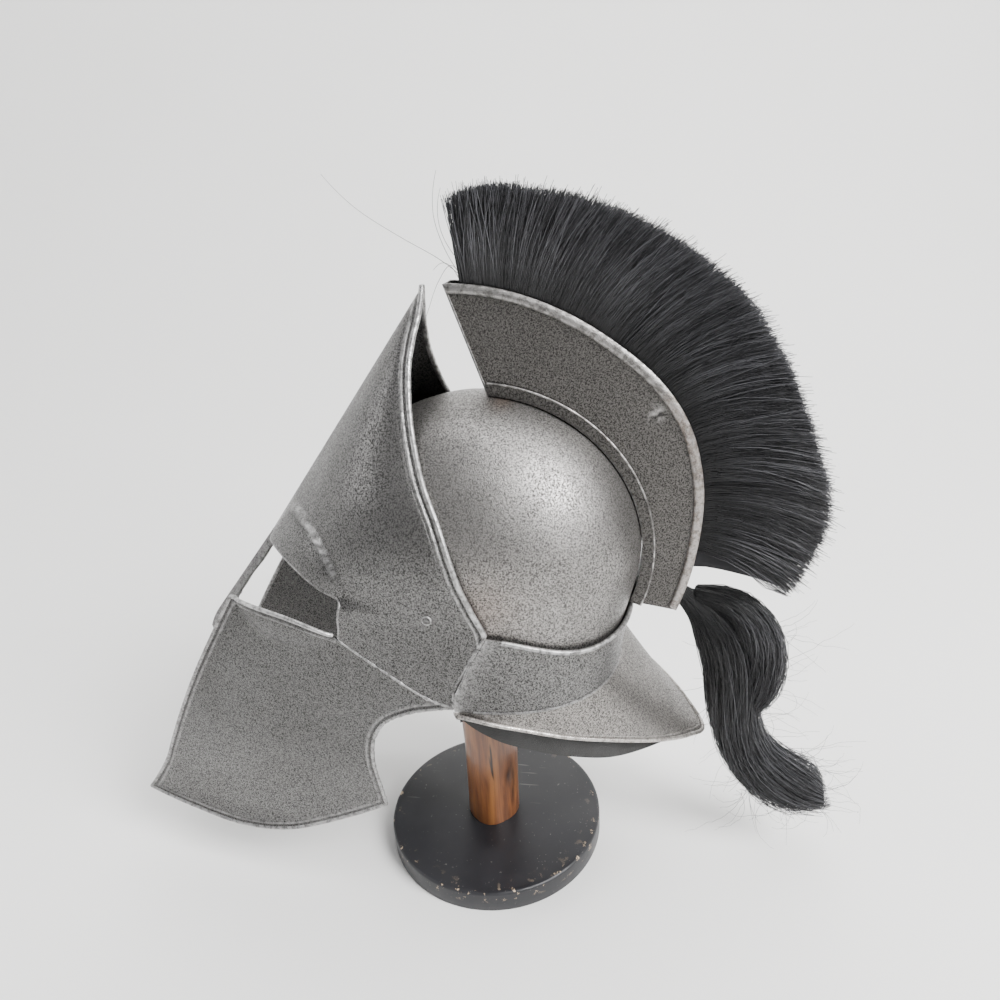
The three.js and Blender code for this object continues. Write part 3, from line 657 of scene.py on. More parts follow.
def paint_material() -> bpy.types.Material:
    """Satin black paint on a wooden disc: dust, scratches, and pale wood at the edge's chips."""
    material, w, shader = plain_shader("black_stand_paint")
    where = w.place()
    soft = w.noise(where, 34.0, 4.0, 0.6)
    paint = w.mix(soft, (0.006, 0.006, 0.0075, 1), (0.018, 0.018, 0.022, 1))
    specks = w.remap(w.noise(where, 420.0, 2.0, 0.5), 0.70, 0.76, 0.0, 0.30)
    scratch = w.remap(w.noise(w.place((1, 0.07, 1), (0, 0, 0.7)), 300.0, 2.0, 0.5), 0.70, 0.75, 0.0, 0.22)
    dusty = w.mix(w.maths("MAXIMUM", specks, scratch), paint, (0.30, 0.29, 0.27, 1))
    chips = w.maths("MULTIPLY", w.mark("wear"), w.remap(w.noise(where, 150.0, 4.0, 0.65), 0.60, 0.63))
    w.link(w.mix(chips, dusty, (0.50, 0.38, 0.26, 1)), shader.inputs["Base Color"])
    w.link(w.remap(soft, 0.3, 0.7, 0.36, 0.52), shader.inputs["Roughness"])
    bumped(w, shader, w.maths("SUBTRACT", w.maths("MULTIPLY", soft, 0.3), chips), 0.35, 0.0006)
    return material


def floor_material() -> bpy.types.Material:
    """Plain pale floor."""
    material, w, shader = plain_shader("pale_floor", roughness=0.85)
    w.link(w.mix(w.noise(w.place(), 3.0, 3.0, 0.5), (0.84, 0.835, 0.82, 1), (0.88, 0.875, 0.865, 1)),
           shader.inputs["Base Color"])
    return material


class Palette:
    """Every material, made once."""

    def __init__(self) -> None:
        hammer = hammertone_group()
        self.of: dict[Slot, bpy.types.Material] = {
            slot: steel_material(finish, hammer) for slot, finish in STEEL_FINISHES.items()}
        self.of[Slot.LEATHER] = leather_material()
        self.of[Slot.HAIR] = hair_material()
        self.of[Slot.WOOD] = wood_material()
        self.of[Slot.PAINT] = paint_material()
        self.core = core_material()


# ---- steel pieces ----

def edge_relief(distance: Array, bead: float = 2.2) -> Array:
    """Height of the fine ridge and the two grooves that run beside a rolled edge."""
    def line(at: float, width: float) -> Array:
        return np.exp(-((distance - at) / width) ** 2)
    return 0.42 * line(bead + 2.6, 0.75) - 0.55 * line(bead + 0.9, 0.8) - 0.4 * line(bead + 4.3, 0.8)


def weld_bead(path: Array, radius: float, seed: int, lumps: float = 0.25) -> tuple[Array, list]:
    """Uneven weld line along a path."""
    swell = 1 + lumps * ripple(path, 4.5, seed) + 0.5 * lumps * ripple(path, 1.8, seed + 1)
    return rod(path, radius * np.clip(swell, 0.5, 1.6), sides=8)


class FacePlate:
    """Keeled plate with its peak, the hoods over the eyes, the nasal and the rivets."""

    COLUMNS = 92
    ROWS = 84

    def grid(self) -> Array:
        """Side-view places of the left half, rows from the lower edge to the peak."""
        brow = curve(BROW, 60)[::-1]
        bottom = np.concatenate([brow, [(-75, 252)], WELD, BAND_SEAM])
        high = np.linspace(BAND_SEAM[-1][1], PEAK_Z, 60)
        keel = np.linspace(BROW[-1][1], PEAK_Z, 60)
        right = np.stack([section_at(high)[1], high], -1)
        left = np.stack([keel_y(keel), keel], -1)
        us = np.concatenate([np.linspace(0, 0.93, self.COLUMNS - 24), np.linspace(0.93, 1, 25)[1:]])
        return patch(bottom, np.array([left[-1], right[-1]]), left, right, us, np.linspace(0, 1, self.ROWS))

    def halves(self) -> tuple[Array, Array, Array]:
        """Outer and inner grids over both sides, and each place's distance from the rear edge."""
        places = self.grid()
        outer = on_skin(places)
        normal = skin_normals(places)
        distance = (section_at(places[..., 1])[1] - places[..., 0]) * 0.93
        relief = edge_relief(distance) + 0.12 * ripple(outer, 30, 5)
        fade = smooth((PEAK_Z - 4 - places[..., 1]) / 25) * smooth(outer[..., 0] / 6)
        inner = outer - normal * STEEL.wall
        inner[:, 0] = outer[:, 0] - STEEL.wall * self.on_keel(normal[:, 0])
        inner[..., 0] = np.maximum(inner[..., 0], 0)
        outer = outer + normal * (relief * fade)[..., None]
        outer[:, 0, 0] = 0
        inner[:, 0, 0] = 0

        def whole(half: Array) -> Array:
            return np.concatenate([mirrored(half)[:, :0:-1], half], 1)
        return whole(outer), whole(inner), np.concatenate([distance[:, :0:-1], distance], 1)

    @staticmethod
    def on_keel(normal: Array) -> Array:
        """Offset direction along the plane of symmetry that keeps the sheet's thickness."""
        flat = normal * np.array([0.0, 1, 1])
        return flat / np.maximum((flat ** 2).sum(-1, keepdims=True), 0.2)

    def rear_edge(self) -> Array:
        """Middle line of the rolled rear edge, from the peak down."""
        z = np.linspace(PEAK_Z - 0.3, 250.5, 150)
        half, rear = section_at(z)
        return np.stack([np.maximum(half - STEEL.wall / 2, 0.2), rear, z], -1)

    @staticmethod
    def brow_edge() -> Array:
        """Middle line of the folded lower edge over an eye."""
        return on_skin(curve([(-79, 237), (-76, 252)] + BROW, 110), STEEL.wall / 2)

    def build(self, palette: Palette) -> None:
        """Makes the plate with its edges, welds, nasal and rivets."""
        outer, inner, distance = self.halves()
        body = sheet(outer, inner)
        flat = outer.reshape(-1, 3)
        keel = np.exp(-(flat[:, 0] / 2.2) ** 2) * 0.35
        ridge = 0.55 * np.exp(-((distance.reshape(-1) - 4.8) / 0.8) ** 2)
        # Painted highlight: a bright line along the top of each eye hood, carried in the wear mark.
        crease_highlight = self.hood_crease(flat)
        wear = np.concatenate([np.clip(keel + ridge + crease_highlight, 0, 1), np.zeros(len(flat))])
        # Painted shade: a dark line in the grooves beside the rolled rear edge, a plate that is darker low down and
        # towards the rear, and a dark band just inside the top of each eye hood, all carried in the tone mark.
        groove_shade = np.exp(-((distance.reshape(-1) - 3.0) / 0.7) ** 2) * 0.6
        low = 0.3 * smooth((290 - flat[:, 2]) / 70) * smooth((flat[:, 1] + 100) / 60)
        under = 0.7 * self.hood_crease(flat, 0.885)
        tone = np.concatenate([np.clip(groove_shade + low + under, 0, 1), np.zeros(len(flat))])
        plate = Shell("face_plate_steel").add(body, wear=wear, tone=tone)
        plate.both(rod(self.rear_edge(), STEEL.bead, sides=14), wear=0.75)
        plate.both(rod(self.brow_edge(), 0.95, sides=10), wear=0.3)
        plate.build(Slot.PLATE, palette.of[Slot.PLATE], ("face_plate",))
        self.build_nasal(palette)
        self.build_welds(palette)
        self.build_rivets(palette)

    @staticmethod
    def hood_crease(points: Array, at: float = 0.955) -> Array:
        """Strength of a line along the top of each hood, at a share of the hood's reach; it places a painted highlight
        and, just inside it, a painted shade.
        """
        r = np.sqrt(((points[:, 1] - HOOD["y"]) / HOOD["ry"]) ** 2 + ((points[:, 2] - HOOD["z"]) / HOOD["rz"]) ** 2)
        rear = smooth((points[:, 1] + 135) / 20)
        return 0.9 * np.exp(-((r - at) / 0.028) ** 2) * rear * smooth((points[:, 2] - 275) / 15)

    @staticmethod
    def build_nasal(palette: Palette) -> None:
        """Narrow bent strip down the nose, with its weld lumps and hooked tip."""
        root_z, tip_z, steps = 290.0, 192.0, 40
        t = np.linspace(0, 1, steps)
        z = root_z + (tip_z - root_z) * t
        start, end = keel_y(np.array(root_z)), keel_y(np.array(tip_z))
        apex = np.stack([np.zeros(steps), start + (end - start) * t, z], -1)
        down = unit(apex[-1] - apex[0])
        inward = np.array([0, -down[2], down[1]])
        hook = 3.0 * np.clip((t - 0.85) / 0.15, 0, 1) ** 2
        apex = apex + (0.4 + hook)[:, None] * inward
        half = 5.4 * (1 - 0.15 * t) * (1 + 0.05 * np.sin(t * 23))
        depth = 7.0 * half / 5.4
        rings = []
        for i in range(steps):
            profile = [(0, 0), (0.5 * half[i], 0.46 * depth[i]), (half[i], depth[i]), (half[i] - 1.2, depth[i] + 0.5),
                       (0.5 * half[i] - 0.9, 0.5 * depth[i] + 1.4), (0, 2.4)]
            profile += [(-x, d) for x, d in profile[-2:0:-1]]
            rings.append([apex[i] + np.array([x, 0, 0]) + d * inward for x, d in profile])
        nasal = Shell("nasal_steel").add(loft(rings), wear=0.25, tone=0.15)
        lump = apex[24:33] + 6.0 * inward + np.array([-3.6, 0, 0])
        swell = np.sin(np.linspace(0, math.pi, len(lump))) ** 0.6 * (1 + 0.35 * ripple(lump, 5, 3))
        nasal.add(rod(lump, 2.2 * np.clip(swell, 0.1, 2), sides=10), wear=0.5)
        nasal.build(Slot.PLATE, palette.of[Slot.PLATE], sharp=28)

    @staticmethod
    def build_welds(palette: Palette) -> None:
        """Weld lines between plate, cheeks and neck band."""
        cheek_line = on_skin(curve(WELD, 120), 0.35)
        band_line = on_skin(curve([WELD[-1]] + BAND_SEAM, 90), 0.2)
        welds = Shell("weld_lines")
        welds.both(weld_bead(cheek_line, 0.95, 11), wear=0.75)
        welds.both(weld_bead(band_line, 1.15, 21, 0.4), wear=0.6, tone=0.1)
        welds.build(Slot.PLATE, palette.of[Slot.PLATE])

    @staticmethod
    def build_rivets(palette: Palette) -> None:
        """Chin strap rivets, each a worn dome in a chipped ring."""
        y, z, radius = -11.0, 261.0, 3.4
        x = float(skin_x(np.array(y), np.array(z))) + STEEL.gap
        profile = [(0.2, 1.5), (1.2, 1.45), (2.1, 1.1), (2.5, 0.75), (2.8, 0.85), (3.1, 0.8), (radius, 0.45), (radius, 0)]
        angle = np.linspace(0, 2 * math.pi, 32, endpoint=False)
        rings = [np.stack([np.full(32, x + h), y + r * np.cos(angle), z + r * np.sin(angle)], -1)
                 for r, h in profile]
        rings = [ring + np.array([0.12, 0, 0]) * ripple(ring, 2.5, 9)[:, None] for ring in rings]
        body = loft(np.array(rings))
        wear = np.array([0.15] * 3 * 32 + [0.2] * 32 + [1.0] * 2 * 32 + [0.5] * 2 * 32 + [0.2, 0.2])
        tone = np.array([0.5] * 3 * 32 + [1.0] * 32 + [0.0] * 4 * 32 + [0.4, 0.4])
        for side in Side:
            shell = Shell(f"rivet_{side.name.lower()}_steel")
            twin = (mirrored(body[0]), [f[:, ::-1] for f in body[1]]) if side is Side.RIGHT else body
            shell.add(twin, wear=wear, tone=tone)
            shell.build(Slot.PLATE, palette.of[Slot.PLATE], (f"rivet_{side.name.lower()}",), sharp=60)


class CheekPlates:
    """The two cheek plates, welded under the face plate."""

    EYE = [(-167, 254), (-139, 254.5), (-109, 250), (-83, 239)]
    FRONT = [(-286.5, 61), (-265, 90), (-252.5, 114), (-236.5, 144), (-214.5, 182), (-188, 223), (-167, 254)]
    BOTTOM = [(-286.5, 61), (-242, 53), (-193, 47.5), (-150, 52.5), (-107, 69), (-63.5, 91.5)]
    NECK = [(-63.5, 91.5), (-66, 113), (-67.5, 134), (-63, 157), (-53, 172), (-32, 184.5), (-9, 191), (1, 193.2)]
    STEPS = 84

    def edge_distance(self, places: Array) -> Array:
        """Distance in the side view from the free edges."""
        lines = np.concatenate([curve(line, 150) for line in (self.EYE, self.FRONT, self.BOTTOM, self.NECK)])
        best = np.full(places.shape[:-1], 1e9)
        for start in range(0, len(lines), 60):
            gap = places[..., None, :] - lines[start:start + 60]
            best = np.minimum(best, np.sqrt((gap ** 2).sum(-1)).min(-1))
        return best

    def left(self) -> Shell:
        """Left cheek: sheet, rolled edges and the rough cut at the neck."""
        top = np.concatenate([curve(self.EYE, 60), [(y, z - STEEL.gap) for y, z in WELD]])
        ends = np.linspace(0, 1, self.STEPS - 12) ** 1.0
        fine = np.unique(np.concatenate([ends, np.linspace(0, 0.06, 12), np.linspace(0.94, 1, 12)]))
        places = patch(curve(self.BOTTOM), top, curve(self.FRONT), curve(self.NECK), fine, fine)
        outer = on_skin(places)
        normal = skin_normals(places)
        distance = self.edge_distance(places)
        relief = 0.7 * edge_relief(distance, 1.7) + 0.25 * ripple(outer, 45, 17) * smooth(distance / 12)
        inner = outer - normal * STEEL.wall
        outer = outer + normal * relief[..., None]
        flat = outer.reshape(-1, 3)
        d = distance.reshape(-1)
        wear = 0.35 * np.exp(-((d - 4.3) / 1.0) ** 2)
        # Painted shade: a dark line in the grooves beside the rolled edges, and darker above the flare and along the
        # very bottom, which leaves a lit band along the flare.
        tone = 0.4 * np.exp(-((d - 2.6) / 0.8) ** 2) + 0.32 * smooth((flat[:, 2] - 95) / 60) \
            + 0.25 * smooth((70 - flat[:, 2]) / 20)
        shell = Shell("cheek_left_steel")
        shell.add(sheet(outer, inner), wear=np.concatenate([wear, wear * 0]),
                  tone=np.concatenate([np.clip(tone, 0, 1), np.zeros(len(flat))]))
        for line, radius, bright in ((self.EYE, 1.5, 0.85), (self.FRONT, 1.55, 0.5), (self.BOTTOM, 1.5, 0.55)):
            shell.add(rod(on_skin(curve(line, 130), STEEL.wall / 2), radius, sides=12), wear=bright)
        shell.add(weld_bead(on_skin(curve(self.NECK, 150), STEEL.wall / 2), 1.35, 31, 0.16), wear=0.6)
        return shell

    def build(self, palette: Palette) -> None:
        """Makes both cheeks."""
        left = self.left()
        right = Shell("cheek_right_steel")
        right.points = [mirrored(p) for p in left.points]
        right.faces = [f[:, ::-1] for f in left.faces]
        right.marks = left.marks
        left.build(Slot.PLATE, palette.of[Slot.PLATE], ("cheek_left",))
        right.build(Slot.PLATE, palette.of[Slot.PLATE], ("cheek_right",))


def oval(angle: Array, half: Array, long: Array, power: Array, z: Array) -> Array:
    """Points of a level oval round the bowl's middle; power 2 is an ellipse, more is squarer."""
    c, n = np.cos(angle), np.sin(angle)
    x = half * np.sign(c) * np.abs(c) ** (2 / power)
    y = BOWL.y + long * np.sign(n) * np.abs(n) ** (2 / power)
    return np.stack(np.broadcast_arrays(x, y, z), -1)


class Bowl:
    """Raised bowl with its dents; its front is cut away behind the face plate."""

    SIDES = 176
    ROWS = 64
    # Small marks: place on the side view, radius and depth (below 0 is a dent).
    MARKS = ((20.0, 371.0, 3.0, 0.5), (96.0, 318.0, 4.0, 0.35), (63.0, 352.0, 5.0, -0.4), (88.0, 262.0, 6.0, -0.3))

    def ring(self, angle: Array, h: Array, inset: float) -> Array:
        """Points at a share of the height: 1 is the crown, 0 the widest level, below 0 the rim."""
        crown = np.maximum(h, 0)
        reach = np.cos(math.pi / 2 * crown)
        narrow = BOWL.taper * np.maximum(-h, 0) ** 1.5
        z = BOWL.z + (BOWL.rise - inset) * np.sin(math.pi / 2 * crown) + (BOWL.z - BOWL.rim) * np.minimum(h, 0)
        return oval(angle, np.maximum((BOWL.half - inset) * reach, 0.4),
                    np.maximum((BOWL.long - inset - narrow) * reach, 0.5), 2.3 - 0.3 * crown, z)

    def lowest(self, angle: Array) -> Array:
        """Share of the height at which each column starts: the rim, or the face cut in front."""
        cut = curve([(-20, 222), (-45, 262), (-80, 284), (-130, 290)], 200)[::-1]
        h = np.full(angle.shape, -1.0)
        for _ in range(12):
            y = self.ring(angle, h, 0.0)[:, 1]
            z = np.where(y < -20, np.interp(y, cut[:, 0], cut[:, 1]), BOWL.rim)
            share = (z - BOWL.z) / np.where(z > BOWL.z, BOWL.rise, BOWL.z - BOWL.rim)
            h = np.where(z > BOWL.z, 2 / math.pi * np.arcsin(np.clip(share, 0, 1)), share)
        return h

    def build(self, palette: Palette) -> None:
        """Makes the bowl."""
        angle = np.linspace(0, 2 * math.pi, self.SIDES, endpoint=False)
        low = self.lowest(angle)
        t = np.linspace(0, 1, self.ROWS)[:, None]
        h = low + (0.985 - low) * t
        outer = self.ring(angle[None], h, 0.0)
        inner = self.ring(angle[None], h, STEEL.wall)
        normal = grid_normals(outer, True)
        normal = normal * np.sign((normal * (outer - np.array([0, BOWL.y, 260.0]))).sum(-1, keepdims=True))
        relief = 0.18 * ripple(outer, 38, 41)
        for y, z, radius, height in self.MARKS:
            near = np.exp(-((outer[..., 1] - y) ** 2 + (outer[..., 2] - z) ** 2) / radius ** 2)
            relief = relief + height * near * (outer[..., 0] > 0)
        outer = outer + normal * (relief * smooth((0.97 - h) / 0.1))[..., None]
        flat = outer.reshape(-1, 3)
        stain = np.exp(-((flat[:, 1] - 25) ** 2 + (flat[:, 2] - 268) ** 2) / 22 ** 2) * 0.25
        joint = np.exp(-((flat[:, 1] - 33) / 8) ** 2 - ((flat[:, 2] - 384) / 4) ** 2) * 0.6
        # Painted shade: darker towards the rim over the front half of the bowl.
        tone = 0.5 * smooth((262 - flat[:, 2]) / 45) * smooth((60 - flat[:, 1]) / 60)
        ends = np.zeros(len(flat) + 2)
        Shell("bowl_steel").add(sheet(outer, inner, wrap=True, pole=True),
                                tint=np.concatenate([stain + joint, ends]),
                                tone=np.concatenate([tone, ends])).build(
            Slot.BOWL, palette.of[Slot.BOWL], ("bowl",))


class NeckBand:
    """Band round the neck under the bowl, with its raised lip."""

    OVALS = np.array([(193, 94.5, 98, 2.6), (229, 92.6, 105.8, 2.3), (252, 92, 109, 2.3)])
    STEPS = 150

    def at(self, angle: Array, z: Array, out: float = 0.0) -> Array:
        """Point of the band; angle 0 is the left side, a half turn the right."""
        half, long, power = (np.interp(z, self.OVALS[:, 0], self.OVALS[:, k]) for k in (1, 2, 3))
        return oval(angle, half + out, long + out, power, z)

    @staticmethod
    def top(y: Array) -> Array:
        """Height of the band's upper edge: it falls towards the nape."""
        return 249 - 20 * smooth((y - 22) / 80)

    def angles(self) -> Array:
        """Angles round the band, thick where it starts at the plate's seam."""
        t = np.linspace(0, 1, self.STEPS)
        return -0.12 + (math.pi + 0.24) * t

    def build(self, palette: Palette) -> None:
        """Makes the band and its lip."""
        angle = self.angles()
        shares = np.linspace(0, 1, 26)[:, None]
        upper = self.top(self.at(angle, np.full(angle.shape, 249.0))[:, 1])[None]
        z = 193 + (upper - 193) * shares
        outer = self.at(angle[None], z)
        seam = np.interp(z, [204, 229, 249.5], [1.5, 13.5, 25.5]) + STEEL.gap
        outer[..., 1] = np.maximum(outer[..., 1], seam)
        bow = 0.9 * np.sin(math.pi * shares)
        normal = grid_normals(outer)
        normal = normal * np.sign((normal * (outer - np.array([0, 20.0, 220.0]))).sum(-1, keepdims=True))
        inner = outer - normal * STEEL.wall
        outer = outer + normal * (0.12 * ripple(outer, 26, 51) - bow * 0.3)[..., None]
        flat = outer.reshape(-1, 3)
        near_seam = np.exp(-np.clip(flat[:, 1] - seam.reshape(-1), 0, 99) / 5.0)
        # Painted shade: darker towards the lower edge at the front, and the inner side darkened as well.
        tone = 0.3 * (1 - shares + 0 * z).reshape(-1) * smooth((80 - flat[:, 1]) / 60)
        band = Shell("neck_band_steel")
        band.add(sheet(outer, inner), wear=np.concatenate([0.5 * near_seam, 0 * near_seam]),
                 tone=np.concatenate([tone, 0 * tone + 0.2]))
        turn = np.linspace(0.2, math.pi - 0.2, 140)
        lip = self.at(turn, self.top(self.at(turn, np.full(140, 249.0))[:, 1]) - 1.2, -0.1)
        band.add(rod(lip, 1.75, up=(0, 0, 1), sides=12), wear=0.6)
        low = self.at(np.linspace(0.02, math.pi - 0.02, 150), np.full(150, 193.4), 0.1)
        band.add(weld_bead(low, 0.9, 61, 0.2), wear=0.35)
        band.build(Slot.PLATE, palette.of[Slot.PLATE], ("neck_band",))


# Free edges below the neck, left half from the cheek to the middle of the nape: X, Y, Z.
GUARD_EDGE = [(96.5, 5, 191.5), (98, 18, 190), (97.5, 30, 187), (93, 46, 181), (83, 75, 169), (68, 102, 156.5),
              (45, 136, 140), (22, 158, 127), (0, 170, 118)]
SKIRT_EDGE = [(86.5, 4, 180), (88, 28, 166), (86, 50, 158), (76, 80, 146), (60, 106, 135), (38, 130, 127),
              (17, 145, 120), (0, 150, 116)]


def whole_edge(half: list, count: int) -> Array:
    """Whole smooth edge from its left half."""
    return curve(half + [(-x, y, z) for x, y, z in half[-2::-1]], count)


class NeckGuard:
    """Flared guard below the band, with its rolled edge, and the leather skirt under it."""

    STEPS = 171

    def build(self, palette: Palette) -> None:
        """Makes the guard and the skirt."""
        edge = whole_edge(GUARD_EDGE, self.STEPS)
        root = NeckBand().at(np.linspace(-0.045, math.pi + 0.045, self.STEPS), np.full(self.STEPS, 192.7))
        shares = np.concatenate([np.linspace(0, 0.8, 16), np.linspace(0.8, 1, 16)[1:]])[:, None, None]
        outer = root + (edge - root) * shares
        outer[..., 2] -= (3 * 4 * shares * (1 - shares))[..., 0]
        distance = (1 - shares[..., 0]) * np.linalg.norm(edge - root, axis=-1)[None]
        down = np.array([0, 0, -STEEL.wall])
        inner = outer + down
        relief = edge_relief(distance) * smooth((np.linalg.norm(edge - root, axis=-1)[None] - 8) / 12)
        outer[..., 2] += relief * 0.8 + 0.1 * ripple(outer, 30, 71)
        flat = outer.reshape(-1, 3)
        d = distance.reshape(-1)
        smudge = np.exp(-((flat[:, 0] - 10) ** 2 + (flat[:, 1] - 143) ** 2) / 9 ** 2) * (ripple(flat, 9, 73) > -0.2)
        # Painted shade: a dark line in the grooves beside the rolled edge, and a darker underside; the smudge near the
        # nape is a dark mark of its own.
        guard = Shell("neck_guard_steel")
        guard.add(sheet(outer, inner), wear=np.concatenate([0.4 * np.exp(-((d - 4.8) / 0.9) ** 2), d * 0]),
                  tone=np.concatenate([0.45 * smudge + 0.4 * np.exp(-((d - 3.0) / 0.8) ** 2), d * 0 + 0.4]))
        guard.add(rod(edge + np.array([0, 0, -0.4]), 1.5, up=(0, 0, 1), sides=14), wear=0.7, tint=0.12)
        guard.build(Slot.GUARD, palette.of[Slot.GUARD], ("neck_guard",))
        self.build_skirt(palette)

    @staticmethod
    def build_skirt(palette: Palette) -> None:
        """Makes the leather skirt that hangs inside the band."""
        count = 141
        edge = whole_edge(SKIRT_EDGE, count)
        angle = np.linspace(-0.06, math.pi + 0.06, count)
        root = oval(angle, 86.6, 90.0, 2.3, 199.6)
        shares = np.linspace(0, 1, 22)[:, None, None]
        outer = root + (edge - root) * shares
        outer[..., 2] -= (4 * 4 * shares * (1 - shares))[..., 0]
        normal = grid_normals(outer)
        normal = normal * np.sign(normal[..., 2:3])
        wave = 0.5 * ripple(outer, 34, 81) * shares[..., 0]
        outer = outer + normal * wave[..., None]
        Shell("leather_skirt").add(sheet(outer, outer - normal * 2.4)).build(
            Slot.LEATHER, palette.of[Slot.LEATHER], ("liner",))


# ---- crest ----

CREST_TOP = [(-2, 458), (35, 453), (73, 438.5), (108, 416), (136, 390), (154, 360), (162.5, 322), (162, 290),
             (156, 254), (147, 226)]
CREST_HALF = 9.0
CREST_SPAN = (84.4, -22.5)                  # degrees from the rear towards the top


def bowl_line(out: float, count: int = 120) -> Array:
    """Side-view line along the bowl's middle at a distance above it, from the front to the rear."""
    angle = np.radians(np.linspace(*CREST_SPAN, count))
    return np.stack([BOWL.y + (BOWL.long + out) * np.cos(angle), BOWL.z + (BOWL.rise + out) * np.sin(angle)], -1)


def inward_line(line: Array, inset: float) -> Array:
    """Crest line moved towards the middle of the bowl."""
    to_middle = unit(np.array([BOWL.y + 30, BOWL.z + 40]) - line)
    return line + to_middle * inset


def side_plate(low: Array, high: Array, x: float, wall: float, rows: int) -> tuple[Array, list]:
    """Flat plate between two side-view lines, from X = x - wall to X = x."""
    shares = np.linspace(0, 1, rows)[:, None, None]
    places = low[None] + (high - low)[None] * shares

    def at(level: float) -> Array:
        return np.concatenate([np.full(places.shape[:-1] + (1,), level), places], -1)
    return sheet(at(x), at(x - wall))


class Crest:
    """Box of the crest, the rail that it stands in, and their worn edges."""

    # Section of the rolled lip: how far out from the plate and how far below the box's mouth.
    LIP = ((-1.2, 0.3), (-0.5, -0.3), (0.5, -0.1), (1.3, 0.9), (1.9, 2.4), (2.1, 4.2), (1.9, 5.6), (1.1, 6.4),
           (0.0, 6.5), (-0.9, 6.2))

    def build(self, palette: Palette) -> None:
        """Makes the box and the rail."""
        high = curve(CREST_TOP, 160)
        low = spread(bowl_line(2.6), np.linspace(0, 1, 160))
        self.build_box(palette, low, high)
        self.build_rail(palette)

    def build_box(self, palette: Palette, low: Array, high: Array) -> None:
        """Side plates, ends and floor of the box, and the rolled lip along its mouth."""
        box = Shell("crest_box_steel")
        plate = side_plate(low, high, CREST_HALF, STEEL.wall, 26)
        points = plate[0]
        chip = np.exp(-((points[:, 1] - 132) ** 2 + (points[:, 2] - 371) ** 2) / 4.5 ** 2) * (points[:, 0] > 8)
        spots = chip * (ripple(points, 5, 93) > 0.1)
        # Painted shadow: the tone mark darkens a band just below the rolled lip, where the lip's shadow falls; the
        # spots in the chip are dark marks of their own.
        lip_near = self.distance_to(points[:, 1:], high)
        box.both(plate, tone=np.clip(0.5 * np.exp(-((lip_near - 5.6) / 1.1) ** 2) + spots, 0, 1),
                 wear=np.clip(chip * 0.8 - spots, 0, 1))
        rings = np.stack([np.concatenate([np.full((len(high), 1), CREST_HALF + out), inward_line(high, down)], -1)
                          for out, down in self.LIP], 1)
        gold = 0.3 * smooth((high[:, 0] - 105) / 30) * smooth((395 - high[:, 1]) / 20)
        box.both(loft(rings), wear=0.5, tint=np.concatenate([np.repeat(gold, len(self.LIP)), [0, 0]]))
        inner = CREST_HALF - STEEL.wall
        floor = np.stack([low, low + unit(high - low) * 1.4], 0)
        for line in (floor,):
            left = np.concatenate([np.full(line.shape[:-1] + (1,), inner), line], -1)
            box.add(sheet(left, mirrored(left)))
        for index, thick in ((0, 1), (-1, -1)):
            span = np.linspace(0, 1, 24)[:, None]
            front = low[index] + (high[index] - low[index]) * span
            step = (low[index + thick] - low[index]) * 0.5
            pair = np.stack([front, front + step], 1)
            left = np.concatenate([np.full(pair.shape[:-1] + (1,), inner), pair], -1)
            box.add(sheet(left, mirrored(left)), tone=0.1)
        edge = np.concatenate([np.full((40, 1), CREST_HALF - 0.5), spread(np.array([low[0], high[0]]), np.linspace(0, 1, 40))], -1)
        box.both(rod(edge, 0.9, up=(1, 0, 0), sides=10), wear=0.3)
        box.build(Slot.CREST, palette.of[Slot.CREST], ("crest_holder",))

    @staticmethod
    def distance_to(places: Array, line: Array) -> Array:
        """Distance of side-view places from a line."""
        gap = places[:, None, :] - line[None, ::2]
        return np.sqrt((gap ** 2).sum(-1)).min(-1)

    @staticmethod
    def build_rail(palette: Palette) -> None:
        """Bent strip along each side of the box's foot, with a bright broken upper edge."""
        foot, top = bowl_line(0.5, 150), bowl_line(9.0, 150)
        outer = CREST_HALF + STEEL.gap + STEEL.wall
        rail = Shell("crest_rail_steel")
        rail.both(side_plate(foot, top, outer, STEEL.wall, 9), tone=0.25)
        # Painted shade: the strip between the rail's sides along the foot is darkened, in the gap over the bowl.
        left = np.concatenate([np.full((2, 150, 1), outer - 0.2), np.stack([foot, bowl_line(1.9, 150)])], -1)
        rail.add(sheet(left, mirrored(left)), tone=0.5)
        edge = np.concatenate([np.full((150, 1), outer - 0.35), inward_line(top, 0.3)], -1)
        wear = np.clip(0.75 + 0.5 * ripple(edge, 14, 97), 0.05, 1)
        rail.both(rod(edge, 0.75, up=(1, 0, 0), sides=10), wear=np.concatenate([np.repeat(wear, 10), [0.5, 0.5]]))
        rail.build(Slot.CREST, palette.of[Slot.CREST], ("crest_rail",))


# ---- horsehair ----

# Where the brush's hair leaves the box and where it ends, from the front to the lower end.
BRUSH = np.array([
    (10, 446, 7.5, 511), (26, 443, 27, 515), (46, 438, 60, 511), (74, 426, 100, 500), (104, 406, 148, 474),
    (128, 384, 186, 441), (144, 357, 213, 398), (151, 327, 232, 352), (152, 300, 245, 303), (149, 277, 236, 267),
    (147, 257, 223, 241),
], float)
HANK = np.array([
    (148.5, 237, 5), (162, 226, 8), (176, 207, 15), (186, 180, 17), (190, 152, 17), (194, 124, 17), (204, 98, 19),
    (222, 78, 23), (242, 66, 25), (256, 62, 21), (266, 63, 11),
], float)
LOBE = np.array([(160, 234, 6), (192, 224, 11), (207, 202, 14), (212, 176, 14), (209, 152, 12), (204, 134, 5)], float)


